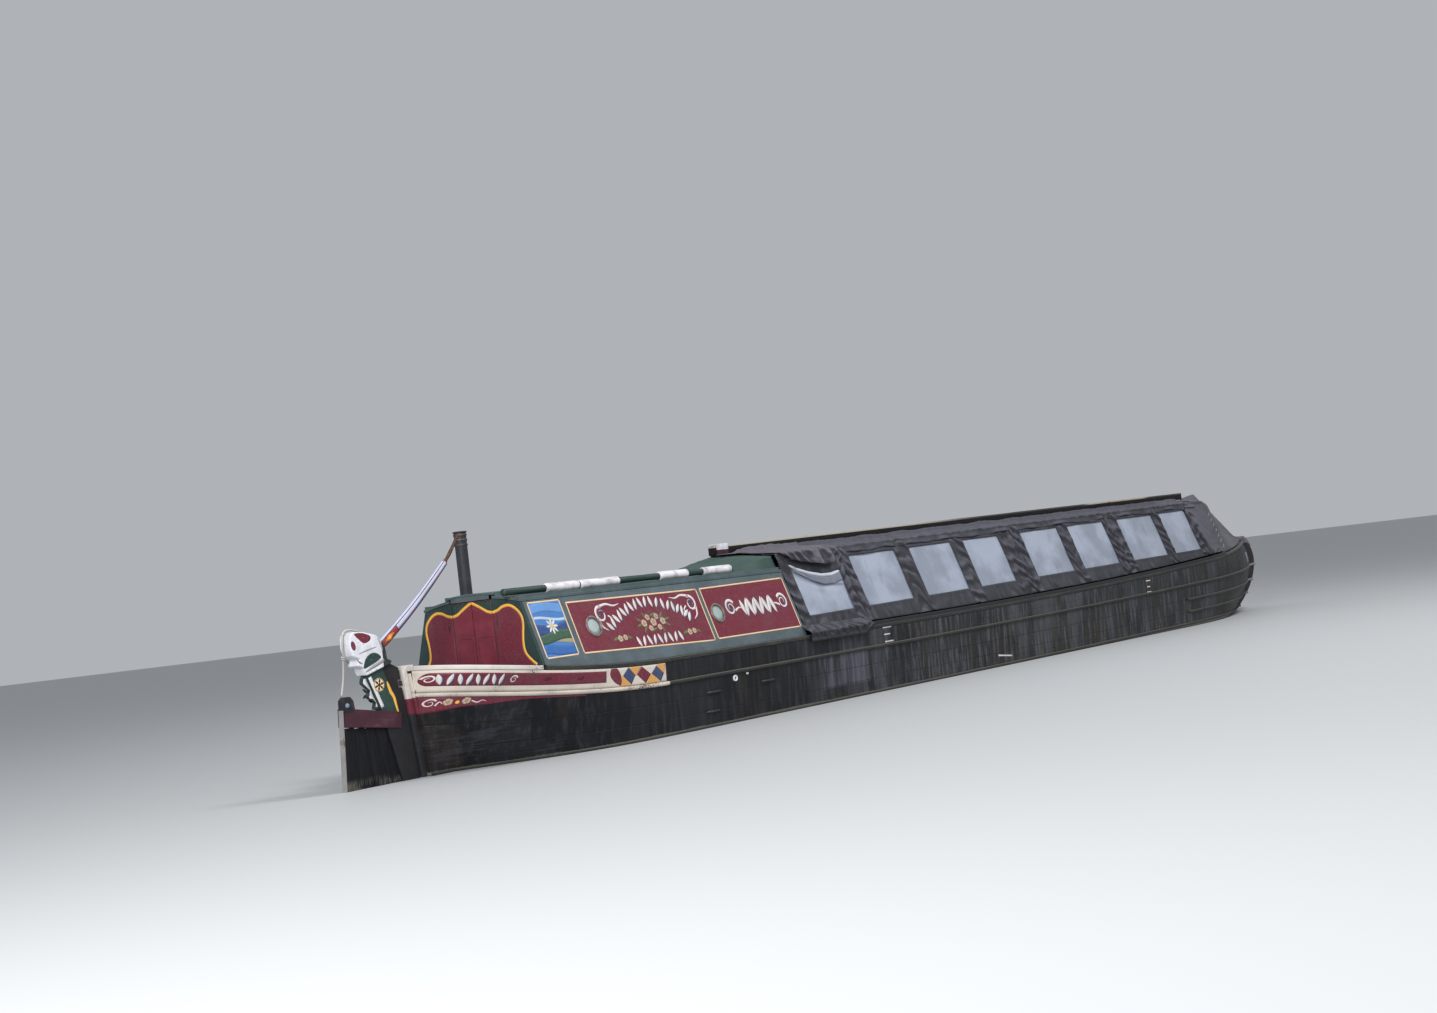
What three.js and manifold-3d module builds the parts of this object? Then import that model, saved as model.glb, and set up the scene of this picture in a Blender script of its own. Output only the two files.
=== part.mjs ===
// Horse-drawn narrow boat of timber: long hold under a canvas tilt, back cabin, big wooden rudder.
// Millimetres, +X towards the bow, +Y to port, +Z up.
// Lengths are measured from where the stern planks start near deck level, heights from the flat bottom.
import * as THREE from "three";
import { mergeVertices } from "three/addons/utils/BufferGeometryUtils.js";
import Module from "manifold-3d";

const wasm = await Module();
wasm.setup();

// Driving dimensions
const draught = 300; // the waterline's height over the bottom
const sideHeight = 1100; // top of the side planks amidships
const halfBeam = 1045; // to the outside of the planks at the gunwale
const halfBottom = 1000;
const plankThick = 50;
const bottomThick = 75;
const postHalf = 55; // half the width of sternpost and stem
const postDepth = 60; // how far the sternpost stands out behind the planks
const rake = 0.1116; // how much the sternpost leans aft with height
const stemTop = 1660;
const noseX = 21600;
const rudderReach = 865; // the rudder's aft edge, behind the origin of lengths
const ironThick = 14;
const joint = 0.5; // gap between pieces that touch
const sternJoint = 3600; // where the curved stern planks meet the straight ones
const bowJoint = 16400;

const cabinAft = 1110;
const cabinFront = 5660;
const cabinWall = 40;
const bulkheadThick = 35;
const lean = 0.345; // tumblehome of cabin sides and tilt, in per height
const cabinFoot = 987; // half width of the cabin where it meets the gunwale
const roofEdge = 1982;
const roofHalf = 703;
const roofCamber = 78;
const roofThick = 30;
const doorwayHalf = 300;
const doorSill = 720;
const hatchHalf = 352;
const hatchLength = 732;

const holdFront = 18500; // the last frame of the tilt
const tiltThick = 8;
const eaveAft = 2150; // height of the tilt's eave over the bottom at the cabin
const eaveRise = 0.0145; // rise of eave and ridge per length towards the bow
const ridgeOverEave = 90;
const beamHalf = 45;
const beamDepth = 120;
const beamAft = 5280;
const beamFront = 18850;

const white = "#e6e1d6";
const cream = "#e3cda0";
const black = "#24272c";
const maroon = "#6b2333";
const cabinGreen = "#2f4a48";
const deepGreen = "#10302d";
const ochre = "#d9a441";
const tiltGrey = "#3d4048";

const paint = (color, roughness = 0.55) =>
  new THREE.MeshStandardMaterial({ color, roughness, metalness: 0 });
const iron = new THREE.MeshStandardMaterial({
  color: "#4a4b4d",
  roughness: 0.6,
  metalness: 0.7,
});
const brass = new THREE.MeshStandardMaterial({
  color: "#c79a3b",
  roughness: 0.3,
  metalness: 1,
});
const timber = paint("#6a5a46", 0.85);
const hullBlack = paint(black, 0.6);
const clearSheet = new THREE.MeshStandardMaterial({
  color: "#c3ccd8",
  roughness: 0.25,
  metalness: 0,
  transparent: true,
  opacity: 0.6,
});

const boat = new THREE.Group();
// The box around hull and rudder is centred on the origin.
boat.position.x = (rudderReach - noseX - ironThick - 4) / 2;

function add(name, geometry, material) {
  const mesh = new THREE.Mesh(geometry, material);
  mesh.name = name;
  boat.add(mesh);
  return mesh;
}

// Solids and booleans

function toSolid(geometry) {
  const bare = new THREE.BufferGeometry().setAttribute(
    "position",
    (geometry.index ? geometry.toNonIndexed() : geometry).getAttribute(
      "position",
    ),
  );
  const merged = mergeVertices(bare, 1e-3);
  return new wasm.Manifold(
    new wasm.Mesh({
      numProp: 3,
      vertProperties: merged.attributes.position.array,
      triVerts: new Uint32Array(merged.index.array),
    }),
  );
}

function toGeometry(solid) {
  const mesh = solid.getMesh();
  const points = new Float32Array(mesh.numVert * 3);
  for (let i = 0; i < mesh.numVert; i++) {
    const from = i * mesh.numProp;
    points.set(mesh.vertProperties.subarray(from, from + 3), i * 3);
  }
  return new THREE.BufferGeometry()
    .setAttribute("position", new THREE.BufferAttribute(points, 3))
    .setIndex(new THREE.BufferAttribute(mesh.triVerts, 1));
}

function cut(geometry, ...tools) {
  let solid = toSolid(geometry);
  for (const tool of tools) solid = solid.subtract(toSolid(tool));
  return toGeometry(solid);
}

function join(...geometries) {
  let solid = toSolid(geometries[0]);
  for (const next of geometries.slice(1)) solid = solid.add(toSolid(next));
  return toGeometry(solid);
}

// A box from its lowest to its highest corner.
function box(x0, x1, y0, y1, z0, z1) {
  return new THREE.BoxGeometry(x1 - x0, y1 - y0, z1 - z0).translate(
    (x0 + x1) / 2,
    (y0 + y1) / 2,
    (z0 + z1) / 2,
  );
}

// An outline extruded along an axis: "x" takes [y, z], "y" takes [x, z] and "z" takes [x, y].
function extrude(axis, outline, from, to) {
  const shape = new THREE.Shape(
    outline.map(([a, b]) => new THREE.Vector2(a, b)),
  );
  const depth = to - from;
  const geometry = new THREE.ExtrudeGeometry(shape, {
    depth,
    bevelEnabled: false,
  });
  if (axis === "x")
    return geometry.applyMatrix4(
      new THREE.Matrix4().set(0, 0, 1, from, 1, 0, 0, 0, 0, 1, 0, 0, 0, 0, 0, 1),
    );
  if (axis === "y")
    return geometry.applyMatrix4(
      new THREE.Matrix4().set(1, 0, 0, 0, 0, 0, -1, to, 0, 1, 0, 0, 0, 0, 0, 1),
    );
  return geometry.translate(0, 0, from);
}

// A plate between two grids of points, face[row][column] = [x, y, z], closed along its rim.
function plate(faceA, faceB) {
  const rows = faceA.length;
  const columns = faceA[0].length;
  const points = [...faceA.flat(), ...faceB.flat()].flat();
  const a = (i, j) => i * columns + j;
  const b = (i, j) => rows * columns + a(i, j);
  const triangles = [];
  const quad = (p, q, r, s) => triangles.push(p, q, r, p, r, s);
  for (let i = 0; i < rows - 1; i++)
    for (let j = 0; j < columns - 1; j++) {
      quad(a(i, j), a(i, j + 1), a(i + 1, j + 1), a(i + 1, j));
      quad(b(i, j), b(i + 1, j), b(i + 1, j + 1), b(i, j + 1));
    }
  for (let j = 0; j < columns - 1; j++) {
    quad(a(0, j), b(0, j), b(0, j + 1), a(0, j + 1));
    quad(a(rows - 1, j), a(rows - 1, j + 1), b(rows - 1, j + 1), b(rows - 1, j));
  }
  for (let i = 0; i < rows - 1; i++) {
    quad(a(i, 0), a(i + 1, 0), b(i + 1, 0), b(i, 0));
    quad(a(i, columns - 1), b(i, columns - 1), b(i + 1, columns - 1), a(i + 1, columns - 1));
  }
  if (signedVolume(points, triangles) < 0) triangles.reverse();
  return new THREE.BufferGeometry()
    .setAttribute("position", new THREE.Float32BufferAttribute(points, 3))
    .setIndex(triangles);
}

function signedVolume(points, triangles) {
  const at = (i) => new THREE.Vector3().fromArray(points, 3 * triangles[i]);
  let volume = 0;
  for (let i = 0; i < triangles.length; i += 3)
    volume += at(i).dot(at(i + 1).cross(at(i + 2)));
  return volume;
}

function tube(path, radius, sides, steps) {
  const curve = new THREE.CatmullRomCurve3(
    path.map(([x, y, z]) => new THREE.Vector3(x, y, z)),
  );
  const ring = Array.from({ length: sides }, (_, i) => {
    const turn = (2 * Math.PI * i) / sides;
    return new THREE.Vector2(radius * Math.cos(turn), radius * Math.sin(turn));
  });
  return new THREE.ExtrudeGeometry(new THREE.Shape(ring), {
    steps,
    extrudePath: curve,
    bevelEnabled: false,
  });
}

const span = (from, to, count) =>
  Array.from({ length: count + 1 }, (_, i) => from + ((to - from) * i) / count);
const mix = (a, b, share) => a + (b - a) * share;
const clamp01 = (t) => Math.min(1, Math.max(0, t));
const sides = [
  ["starboard", -1],
  ["port", 1],
];

// Hull lines

// Where the planks end on the sternpost, and the post's own aft face.
const plankAft = (z) => 180 - rake * (z - draught);
const postAft = (z) => plankAft(z) - postDepth;
// The stem's face: upright near deck level, a sweep aft to the bottom and a rounded head.
const stemBend = 1250;
const stemHead = 1450;
const stemFace = (z) =>
  noseX -
  2000 * clamp01((stemBend - z) / stemBend) ** 2 -
  0.006 * Math.max(0, z - stemHead) ** 2;
// Where the planks end on the stem; near the gunwale they lean aft.
const plankLean = 1200;
const plankFore = (z) =>
  stemFace(z) - 40 - 0.0016 * (Math.min(1540, Math.max(plankLean, z)) - plankLean) ** 2;

const sternShare = (x) => clamp01(1 - x / 3000) ** 1.9;
const bowShare = (x) => clamp01((x - 6000) / 15600);
const sheer = (x) => sideHeight + 290 * sternShare(x) + 450 * bowShare(x) ** 2.6;
const upperGuardHeight = (x) => 875 + 270 * sternShare(x) + 240 * bowShare(x) ** 2;
const lowerGuardHeight = (x) => draught + 12 + 90 * bowShare(x) ** 2;

const guardHeight = 44;

// How full the hull is, from 0 at the post to 1 amidships: 1 - (1 - t)^a, to the power b, over a run.
const fullness = {
  stern: {
    bottom: { run: 3600, a: 3.5, b: 2.6 },
    water: { run: 3300, a: 3.5, b: 1.9 },
    gunwale: { run: 3000, a: 4, b: 0.5 },
  },
  bow: {
    bottom: { run: 4400, a: 2.4, b: 1.5 },
    water: { run: 4200, a: 2.4, b: 1.1 },
    gunwale: { run: 4000, a: 1.45, b: 0.95 },
  },
};

function fill({ run, a, b }, distance) {
  return (1 - (1 - clamp01(distance / run)) ** a) ** b;
}

// Half the breadth outside the planks at a length and a height.
function halfBreadth(x, z) {
  const low = z < draught;
  const share = low ? z / draught : (z - draught) / (sheer(x) - draught);
  const ends = [
    [fullness.stern, x - plankAft(z)],
    [fullness.bow, plankFore(z) - x],
  ].map(([line, distance]) =>
    low
      ? mix(fill(line.bottom, distance), fill(line.water, distance), share)
      : mix(fill(line.water, distance), fill(line.gunwale, distance), share),
  );
  const full = mix(halfBottom, halfBeam, clamp01(z / sideHeight));
  return Math.max(postHalf + plankThick, full * Math.min(...ends));
}

// A point off the planks' outer face: out is along the normal in plan, so a negative value is inside.
function offHull(x, z, out) {
  const step = 5;
  const slope =
    (halfBreadth(x + step, z) - halfBreadth(x - step, z)) / (2 * step);
  const length = Math.hypot(1, slope);
  const y = halfBreadth(x, z) + out / length;
  return [x - (out * slope) / length, Math.max(postHalf + joint, y), z];
}

// Lengths and heights depend on each other near the raked ends, so a few rounds settle them.
function settle(heightAt, lengthAt) {
  let z = heightAt(lengthAt(sideHeight));
  for (let round = 0; round < 6; round++) z = heightAt(lengthAt(z));
  return [lengthAt(z), z];
}

const mirror = (points, side) => points.map((row) => row.map(([x, y, z]) => [x, side * y, z]));

// Heights along the planks that guards and strakes follow.
const levels = {
  chine: () => bottomThick + joint,
  water: () => draught,
  lower: (x) => lowerGuardHeight(x) + guardHeight / 2,
  third: (x) => mix(lowerGuardHeight(x), upperGuardHeight(x), 0.3),
  second: (x) => mix(lowerGuardHeight(x), upperGuardHeight(x), 0.62),
  upper: upperGuardHeight,
  top: sheer,
};

const ends = {
  stern: { at: plankAft, to: sternJoint, columns: 16 },
  middle: { at: () => sternJoint + joint, to: bowJoint - joint, columns: 12 },
  bow: { at: plankFore, to: bowJoint, columns: 16 },
};

const crowd = (t, part) => (part === "middle" ? t : t ** 1.8); // columns crowd at the posts

function hullFace(part, out, rows = Object.values(levels)) {
  const { at, to, columns } = ends[part];
  return rows.map((level) =>
    span(0, 1, columns).map((t) => {
      const [x, z] = settle(level, (height) => mix(at(height), to, crowd(t, part)));
      const point = offHull(x, z, out);
      return [point[0], point[1], level(point[0])];
    }),
  );
}

// The end columns of the inner face stay on the joints' planes.
function planks(part, side) {
  const outer = hullFace(part, 0);
  const inner = hullFace(part, -plankThick);
  inner.forEach((row, i) => {
    row[row.length - 1][0] = outer[i][row.length - 1][0];
    if (part === "middle") row[0][0] = outer[i][0][0];
  });
  return plate(mirror(outer, side), mirror(inner, side));
}

for (const [hand, side] of sides)
  for (const part of Object.keys(ends))
    add(`${part}_planking_${hand}`, planks(part, side), hullBlack);

const innerFaces = {
  stern: hullFace("stern", -plankThick),
  middle: hullFace("middle", -plankThick),
  bow: hullFace("bow", -plankThick),
};

function between(points, key, at) {
  const sorted = points.toSorted((p, q) => p[key] - q[key]);
  const after = sorted.findIndex((p) => p[key] >= at);
  if (after < 0) return sorted.at(-1);
  if (after === 0) return sorted[0];
  const [low, high] = [sorted[after - 1], sorted[after]];
  const share = (at - low[key]) / (high[key] - low[key]);
  return low.map((value, i) => mix(value, high[i], share));
}

// Half the breadth inside the planks, less a little room.
function innerHalf(x, z) {
  const part = x < sternJoint ? "stern" : x > bowJoint ? "bow" : "middle";
  const section = innerFaces[part].map((row) => between(row, 0, x));
  return between(section, 2, z)[1] - 8;
}

// The flat bottom, under the side planks.
const bottomAft = postAft(0) + postDepth + 102;
const bottomFore = stemFace(0) - 150;
const bottomLengths = span(0, 1, 24).map((t) => {
  const eased = (1 - Math.cos(Math.PI * t)) / 2;
  return mix(bottomAft, bottomFore, mix(t, eased, 0.6));
});
function planOutline(lengths, halfAt) {
  return [
    ...lengths.map((x) => [x, -halfAt(x)]),
    ...lengths.toReversed().map((x) => [x, halfAt(x)]),
  ];
}
add(
  "bottom_boards",
  extrude("z", planOutline(bottomLengths, (x) => halfBreadth(x, 40)), 0, bottomThick),
  timber,
);

// Sternpost and stem
const postTop = 1440;
add(
  "sternpost",
  extrude(
    "y",
    [
      [postAft(0), 0],
      [postAft(0) + postDepth + 100, 0],
      [postAft(postTop) + postDepth + 100, postTop],
      [postAft(postTop), postTop],
    ],
    -postHalf,
    postHalf,
  ),
  hullBlack,
);
const stemHeights = span(0, stemTop, 20);
const stemBack = (z) => plankFore(z) - 100;
add(
  "stem",
  extrude(
    "y",
    [
      ...stemHeights.map((z) => [stemFace(z), z]),
      ...stemHeights.toReversed().map((z) => [stemBack(z), z]),
    ],
    -postHalf,
    postHalf,
  ),
  hullBlack,
);

// Guard irons

const guardGap = 12;
const guardStand = 26; // how far a guard stands off the planks

// A bar along a level of the hull, as a plate between its inner and outer face.
function guardFaces(part, level) {
  const rows = [-0.5, 0.5].map((h) => (x) => level(x) + h * guardHeight);
  return [hullFace(part, guardGap, rows), hullFace(part, guardStand, rows)];
}

// The bow's bars run on round the stem's face to the centre line.
function bowGuard(side, level) {
  const faces = guardFaces("bow", level);
  for (const [face, gap] of [
    [faces[0], 2],
    [faces[1], 2 + ironThick],
  ])
    for (const row of face) {
      const z = row[0][2];
      row.shift();
      row.unshift(
        [stemFace(z) + gap, 0, z],
        [stemFace(z) + gap, postHalf, z],
        [plankFore(z) + gap, postHalf + plankThick + gap, z],
      );
    }
  return plate(mirror(faces[0], side), mirror(faces[1], side));
}

const strapHeights = stemHeights.filter((z) => z > 100 && z < 1600);
const stemStrap = extrude(
  "y",
  [
    ...strapHeights.map((z) => [stemFace(z) + 2, z]),
    ...strapHeights.toReversed().map((z) => [stemFace(z) + 2 + ironThick, z]),
  ],
  -28,
  28,
);
const bowLevels = [lowerGuardHeight, levels.third, levels.second, levels.upper];
add(
  "bow_guard_irons",
  join(
    stemStrap,
    ...sides.flatMap(([, side]) => bowLevels.map((level) => bowGuard(side, level))),
  ),
  iron,
);

for (const [hand, side] of sides)
  for (const [name, level] of [
    ["upper", levels.upper],
    ["lower", lowerGuardHeight],
  ]) {
    const [sternIn, sternOut] = guardFaces("stern", level);
    const [midIn, midOut] = guardFaces("middle", level);
    const run = (stern, mid) =>
      stern.map((row, i) => [...row.slice(1, -1), ...mid[i].slice(1)]);
    add(
      `${name}_guard_${hand}`,
      plate(mirror(run(sternIn, midIn), side), mirror(run(sternOut, midOut), side)),
      iron,
    );
  }

// Gunwales and decks

const gunwaleThick = 50;
const gunwaleOut = 8;
const gunwaleWide = 130;
const gunwaleTop = (x) => sheer(x) + gunwaleThick;
const gunwaleAft = cabinAft + bulkheadThick + 1;
const gunwaleFore = noseX - 290;

function gunwaleInner(x) {
  return Math.max(postHalf + 6, halfBreadth(x, sheer(x)) - gunwaleWide);
}

// A bar with an upright rectangular section whose four edges follow the length.
function bar(lengths, inner, outer, low, high, side) {
  const face = (edge) => [low, high].map((height) => lengths.map((x) => [x, side * edge(x), height(x)]));
  return plate(face(inner), face(outer));
}

const gunwaleLengths = [
  ...span(gunwaleAft, sternJoint, 10),
  ...span(sternJoint, bowJoint, 10).slice(1),
  ...span(0, 1, 16)
    .slice(1)
    .map((t) => mix(bowJoint, gunwaleFore, 1 - (1 - t) ** 1.8)),
];
const railAft = 7050;
const railHigh = 45;
for (const [hand, side] of sides) {
  const shelf = bar(
    gunwaleLengths,
    gunwaleInner,
    (x) => halfBreadth(x, sheer(x)) + gunwaleOut,
    (x) => sheer(x) + 2,
    gunwaleTop,
    side,
  );
  const holdRail = bar(
    span(railAft, holdFront - 100, 12),
    (x) => halfBreadth(x, sheer(x)) - 30,
    (x) => halfBreadth(x, sheer(x)) + 5,
    (x) => gunwaleTop(x) - 20,
    (x) => gunwaleTop(x) + railHigh,
    side,
  );
  add(`gunwale_${hand}`, join(shelf, holdRail), hullBlack);
}

// The stern deck: a small plate over the post and a rim round the steerer's well.
const sternDeckAft = 60;
const wellAft = 400;
const sternRimFore = cabinAft - 2;
const sternDeckRim = sides.map(([, side]) =>
  bar(
    span(0, 1, 12).map((t) => mix(sternDeckAft, sternRimFore, t ** 1.5)),
    (x) => (x < wellAft ? -1 : halfBreadth(x, sheer(x)) - gunwaleWide + 10),
    (x) => halfBreadth(x, sheer(x)) + gunwaleOut,
    (x) => sheer(x) + 2,
    gunwaleTop,
    side,
  ),
);
add(
  "stern_deck",
  cut(
    join(...sternDeckRim),
    box(-300, postAft(1300) + postDepth + 104, -postHalf - 4, postHalf + 4, 1000, 1600),
  ),
  hullBlack,
);

const wellFloorZ = 560;
add(
  "well_floor",
  extrude(
    "z",
    planOutline(span(340, cabinAft - 1, 12), (x) => innerHalf(x, wellFloorZ) - 4),
    wellFloorZ,
    wellFloorZ + 30,
  ),
  timber,
);

const deckAft = 19300;
const deckFore = noseX - 620;
const deckCamber = 110;
const deckThick = 35;
const deckHeight = (x, share) => sheer(x) + 45 + deckCamber * (1 - share ** 2);
function deckFace(drop) {
  const inside = gunwaleLengths.filter((x) => x > deckAft + 40 && x < deckFore - 40);
  return [deckAft, ...inside, deckFore].map((x) =>
    span(-1, 1, 8).map((share) => [
      x,
      (gunwaleInner(x) - 6) * share,
      deckHeight(x, share) - drop,
    ]),
  );
}
add("foredeck", plate(deckFace(0), deckFace(deckThick)), timber);

// Floors and bulkheads

const floorTop = 150;
function floorBoards(name, from, to) {
  add(
    name,
    extrude(
      "z",
      planOutline(span(from, to, 36), (x) => innerHalf(x, bottomThick) - 4),
      bottomThick + joint,
      floorTop,
    ),
    timber,
  );
}
floorBoards("cabin_floor", cabinAft + bulkheadThick + 1, cabinFront - 1);
floorBoards("hold_floor", cabinFront + bulkheadThick + 2, deckAft - 1);

const cabinHalf = (z) => cabinFoot - lean * (z - (sideHeight + gunwaleThick + 10));
const wallTop = roofEdge - roofThick - 6;
const roofTop = (y) => roofEdge + roofCamber * (1 - (y / roofHalf) ** 2);

// One side of a bulkhead's outline from the bottom up to the roof's underside, as [y, z].
function bulkheadSide(x, top) {
  const low = [bottomThick + joint, draught, 700, sheer(x) - 1].map((z) => [
    innerHalf(x, z) - 8,
    z,
  ]);
  if (!top) return low;
  const shoulder = gunwaleTop(x) + 2;
  return [
    ...low,
    [gunwaleInner(x) - 2, sheer(x) - 1],
    [gunwaleInner(x) - 2, shoulder],
    [cabinHalf(shoulder), shoulder],
    [cabinHalf(wallTop), wallTop],
  ];
}
function bulkhead(x, thick, withCabin = true) {
  const half = bulkheadSide(x + thick / 2, withCabin);
  const crown = withCabin
    ? span(0.8, -0.8, 8).map((share) => [
        share * roofHalf,
        roofTop(share * roofHalf) - roofThick - 3,
      ])
    : [];
  const outline = [
    ...half,
    ...crown,
    ...half.toReversed().map(([y, z]) => [-y, z]),
  ];
  return extrude("x", outline, x, x + thick);
}
add(
  "rear_bulkhead",
  cut(
    bulkhead(cabinAft, bulkheadThick),
    box(cabinAft - 50, cabinAft + 90, -doorwayHalf, doorwayHalf, doorSill, 2300),
  ),
  paint(deepGreen),
);
add("front_bulkhead", bulkhead(cabinFront + joint, bulkheadThick), paint(cabinGreen));
add("fore_bulkhead", bulkhead(deckAft + 2, 30, false), timber);

// Back cabin

// A wall with the cabin's tumblehome: [x, y, z] between a bottom and a top height.
function leaningWall(lengths, low, high, thick, side) {
  const face = (inset) =>
    [low, high].map((height) =>
      lengths.map((x) => [x, side * (cabinHalf(height(x)) - inset), height(x)]),
    );
  return plate(face(0), face(thick));
}

const portholes = [
  { x: 2060, z: 1595 },
  { x: 4190, z: 1560 },
];
const portholeRadius = 96;
const leanAngle = Math.atan(lean);

// Puts a piece turned about Z onto the leaning side, its axis along the wall's normal.
function onSide(geometry, side, x, z) {
  return geometry
    .rotateX(-side * (Math.PI / 2 - leanAngle))
    .translate(x, side * (cabinHalf(z) - cabinWall / 2), z);
}

for (const [hand, side] of sides) {
  const wall = leaningWall(
    span(cabinAft + bulkheadThick + joint, cabinFront, 16),
    (x) => gunwaleTop(x) + 2,
    () => wallTop,
    cabinWall,
    side,
  );
  const holes = portholes.map(({ x, z }) =>
    onSide(new THREE.CylinderGeometry(portholeRadius, portholeRadius, 200, 24).rotateX(Math.PI / 2), side, x, z),
  );
  add(`cabin_side_${hand}`, cut(wall, ...holes), paint(cabinGreen));
  portholes.forEach(({ x, z }, i) => {
    const out = cabinWall / 2 + 1;
    // Radius and height of the glass with its ring, which laps the wall outside.
    const profile = [
      [0, -4],
      [portholeRadius - 2, -4],
      [portholeRadius - 2, out],
      [portholeRadius + 22, out],
      [portholeRadius + 18, out + 14],
      [portholeRadius - 12, out + 16],
      [portholeRadius - 18, 4],
      [0, 4],
    ].map(([r, h]) => new THREE.Vector2(r, h));
    const ring = new THREE.LatheGeometry(profile, 24).rotateX(Math.PI / 2);
    add(`porthole_${hand}_${i + 1}`, onSide(ring, side, x, z), brass);
  });
}

const roofAft = cabinAft - 10;
const roofFore = cabinFront + 37;
const roofOverhang = 18;
function roofFace(drop) {
  return [roofAft, roofFore].map((x) =>
    span(-1, 1, 16).map((share) => {
      const y = share * (roofHalf + roofOverhang);
      return [x, y, roofTop(y) - drop];
    }),
  );
}
const hatchFore = cabinAft + 650;
const runnerInner = hatchHalf + 6;
// Strips standing on the roof: half widths, length from the aft end and height.
const roofStrips = [
  { inner: roofHalf - 30, outer: roofHalf + 6, to: cabinFront, high: 24 },
  { inner: runnerInner, outer: runnerInner + 28, to: cabinAft + 1460, high: 40 },
];
add(
  "cabin_roof",
  join(
    cut(
      plate(roofFace(0), roofFace(roofThick)),
      box(roofAft - 50, hatchFore, -doorwayHalf - 20, doorwayHalf + 20, 1800, 2300),
    ),
    ...sides.flatMap(([, side]) =>
      roofStrips.map(({ inner, outer, to, high }) =>
        bar(
          span(cabinAft, to, 2),
          () => inner,
          () => outer,
          () => roofTop(outer) - 10,
          () => roofTop(inner) + high,
          side,
        ),
      ),
    ),
  ),
  paint(cabinGreen),
);

const hatchClear = 7;
const hatchThick = 24;
function hatchFace(lift) {
  return [roofAft - 4, roofAft - 4 + hatchLength].map((x) =>
    span(-hatchHalf, hatchHalf, 8).map((y) => [x, y, roofTop(y) + lift]),
  );
}
add(
  "sliding_hatch",
  plate(hatchFace(hatchClear), hatchFace(hatchClear + hatchThick)),
  paint(cabinGreen),
);

const doorGap = 10;
const doorThick = 22;
for (const [hand, side] of sides) {
  const near = side * (doorGap / 2);
  const far = side * (doorwayHalf - 5);
  add(
    `door_${hand}`,
    box(
      cabinAft + 2,
      cabinAft + 2 + doorThick,
      Math.min(near, far),
      Math.max(near, far),
      doorSill + 6,
      roofTop(doorwayHalf) - 38,
    ),
    paint(maroon),
  );
}

// Stove chimney on the port side of the roof, with its collar
const chimneyX = 1550;
const chimneyY = 500;
const chimneyRadius = 66;
const collarWide = chimneyRadius + 22;
const chimneyFoot = roofTop(chimneyY - collarWide) + 1;
const chimneyHigh = 2790 - chimneyFoot;
const band = (z) => [
  [chimneyRadius, z - 14],
  [chimneyRadius + 6, z - 12],
  [chimneyRadius + 6, z + 12],
  [chimneyRadius, z + 14],
];
const chimneyProfile = [
  [chimneyRadius - 8, 0],
  [collarWide, 0],
  [collarWide, 22],
  [chimneyRadius + 8, 34],
  [chimneyRadius, 36],
  ...band(chimneyHigh - 150),
  ...band(chimneyHigh - 95),
  ...band(chimneyHigh - 40),
  [chimneyRadius + 10, chimneyHigh - 8],
  [chimneyRadius + 10, chimneyHigh],
  [chimneyRadius - 8, chimneyHigh],
  [chimneyRadius - 8, 0],
].map(([r, z]) => new THREE.Vector2(r, z));
add(
  "chimney",
  new THREE.LatheGeometry(chimneyProfile, 20)
    .rotateX(Math.PI / 2)
    .translate(chimneyX, chimneyY, chimneyFoot),
  hullBlack,
);

// Banded pole lying along the roof's starboard side
const poleRadius = 45;
const poleY = -540;
add(
  "roof_pole",
  new THREE.CylinderGeometry(poleRadius, poleRadius, 3950, 16)
    .rotateZ(Math.PI / 2)
    .translate(2955, poleY, roofTop(poleY + poleRadius) + poleRadius + 1),
  paint(white),
);

// Tilt: ridge beam, frames and the grey cloth

const eave = (x) => eaveAft + eaveRise * (x - cabinFront);
const eaveHalf = (x) => cabinHalf(eave(x)) - 2;
const ridge = (x) => eave(x) + ridgeOverEave;

const beamLow = (x) => ridge(x) + tiltThick + 2;
add(
  "ridge_beam",
  bar(
    [beamAft, cabinFront, beamFront],
    () => -beamHalf,
    () => beamHalf,
    beamLow,
    (x) => beamLow(x) + beamDepth,
    1,
  ),
  hullBlack,
);

const blockFore = beamAft + 260;
add(
  "cabin_block",
  box(beamAft + 60, blockFore, -beamHalf - 30, beamHalf + 30, roofTop(0) + 1, beamLow(beamAft + 60) - 1),
  hullBlack,
);

// Timber frames across the hold that carry the cloth and the ridge.
const frames = [7060, 11400, 14650, 18100];
const frameThick = 40;
const legWide = 70;
frames.forEach((x, i) => {
  const foot = gunwaleTop(x) + 4;
  const head = eave(x) - 4;
  const under = (z, inset) => cabinHalf(z) - tiltThick - 14 - inset;
  const crown = ridge(x) - 8;
  const outer = [
    [under(foot, 0), foot],
    [under(head, 0), head],
    [beamHalf, crown],
  ];
  const inner = [
    [under(foot, legWide), foot],
    [under(head - legWide, legWide), head - legWide],
    [beamHalf, crown - legWide],
  ];
  const outline = [
    ...outer,
    ...outer.toReversed().map(([y, z]) => [-y, z]),
    ...inner.map(([y, z]) => [-y, z]),
    ...inner.toReversed(),
  ];
  add(`tilt_frame_${i + 1}`, extrude("x", outline, x - frameThick / 2, x + frameThick / 2), timber);
});

// Windows of each side sheet: where each starts along the boat and its width.
const windows = [
  { x: 5900, width: 1000 },
  { x: 7220, width: 1100 },
  { x: 8690, width: 1080 },
  { x: 10120, width: 990 },
  { x: 11760, width: 1170 },
  { x: 13270, width: 1200 },
  { x: 14980, width: 1290 },
  { x: 16560, width: 1020 },
];
const windowLow = (x) => 1380 + 0.0139 * (x - 6000);
const windowHigh = (x) => 2060 + 0.0165 * (x - 7200);
const tiltFoot = (x) => gunwaleTop(x) + 55;

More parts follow.
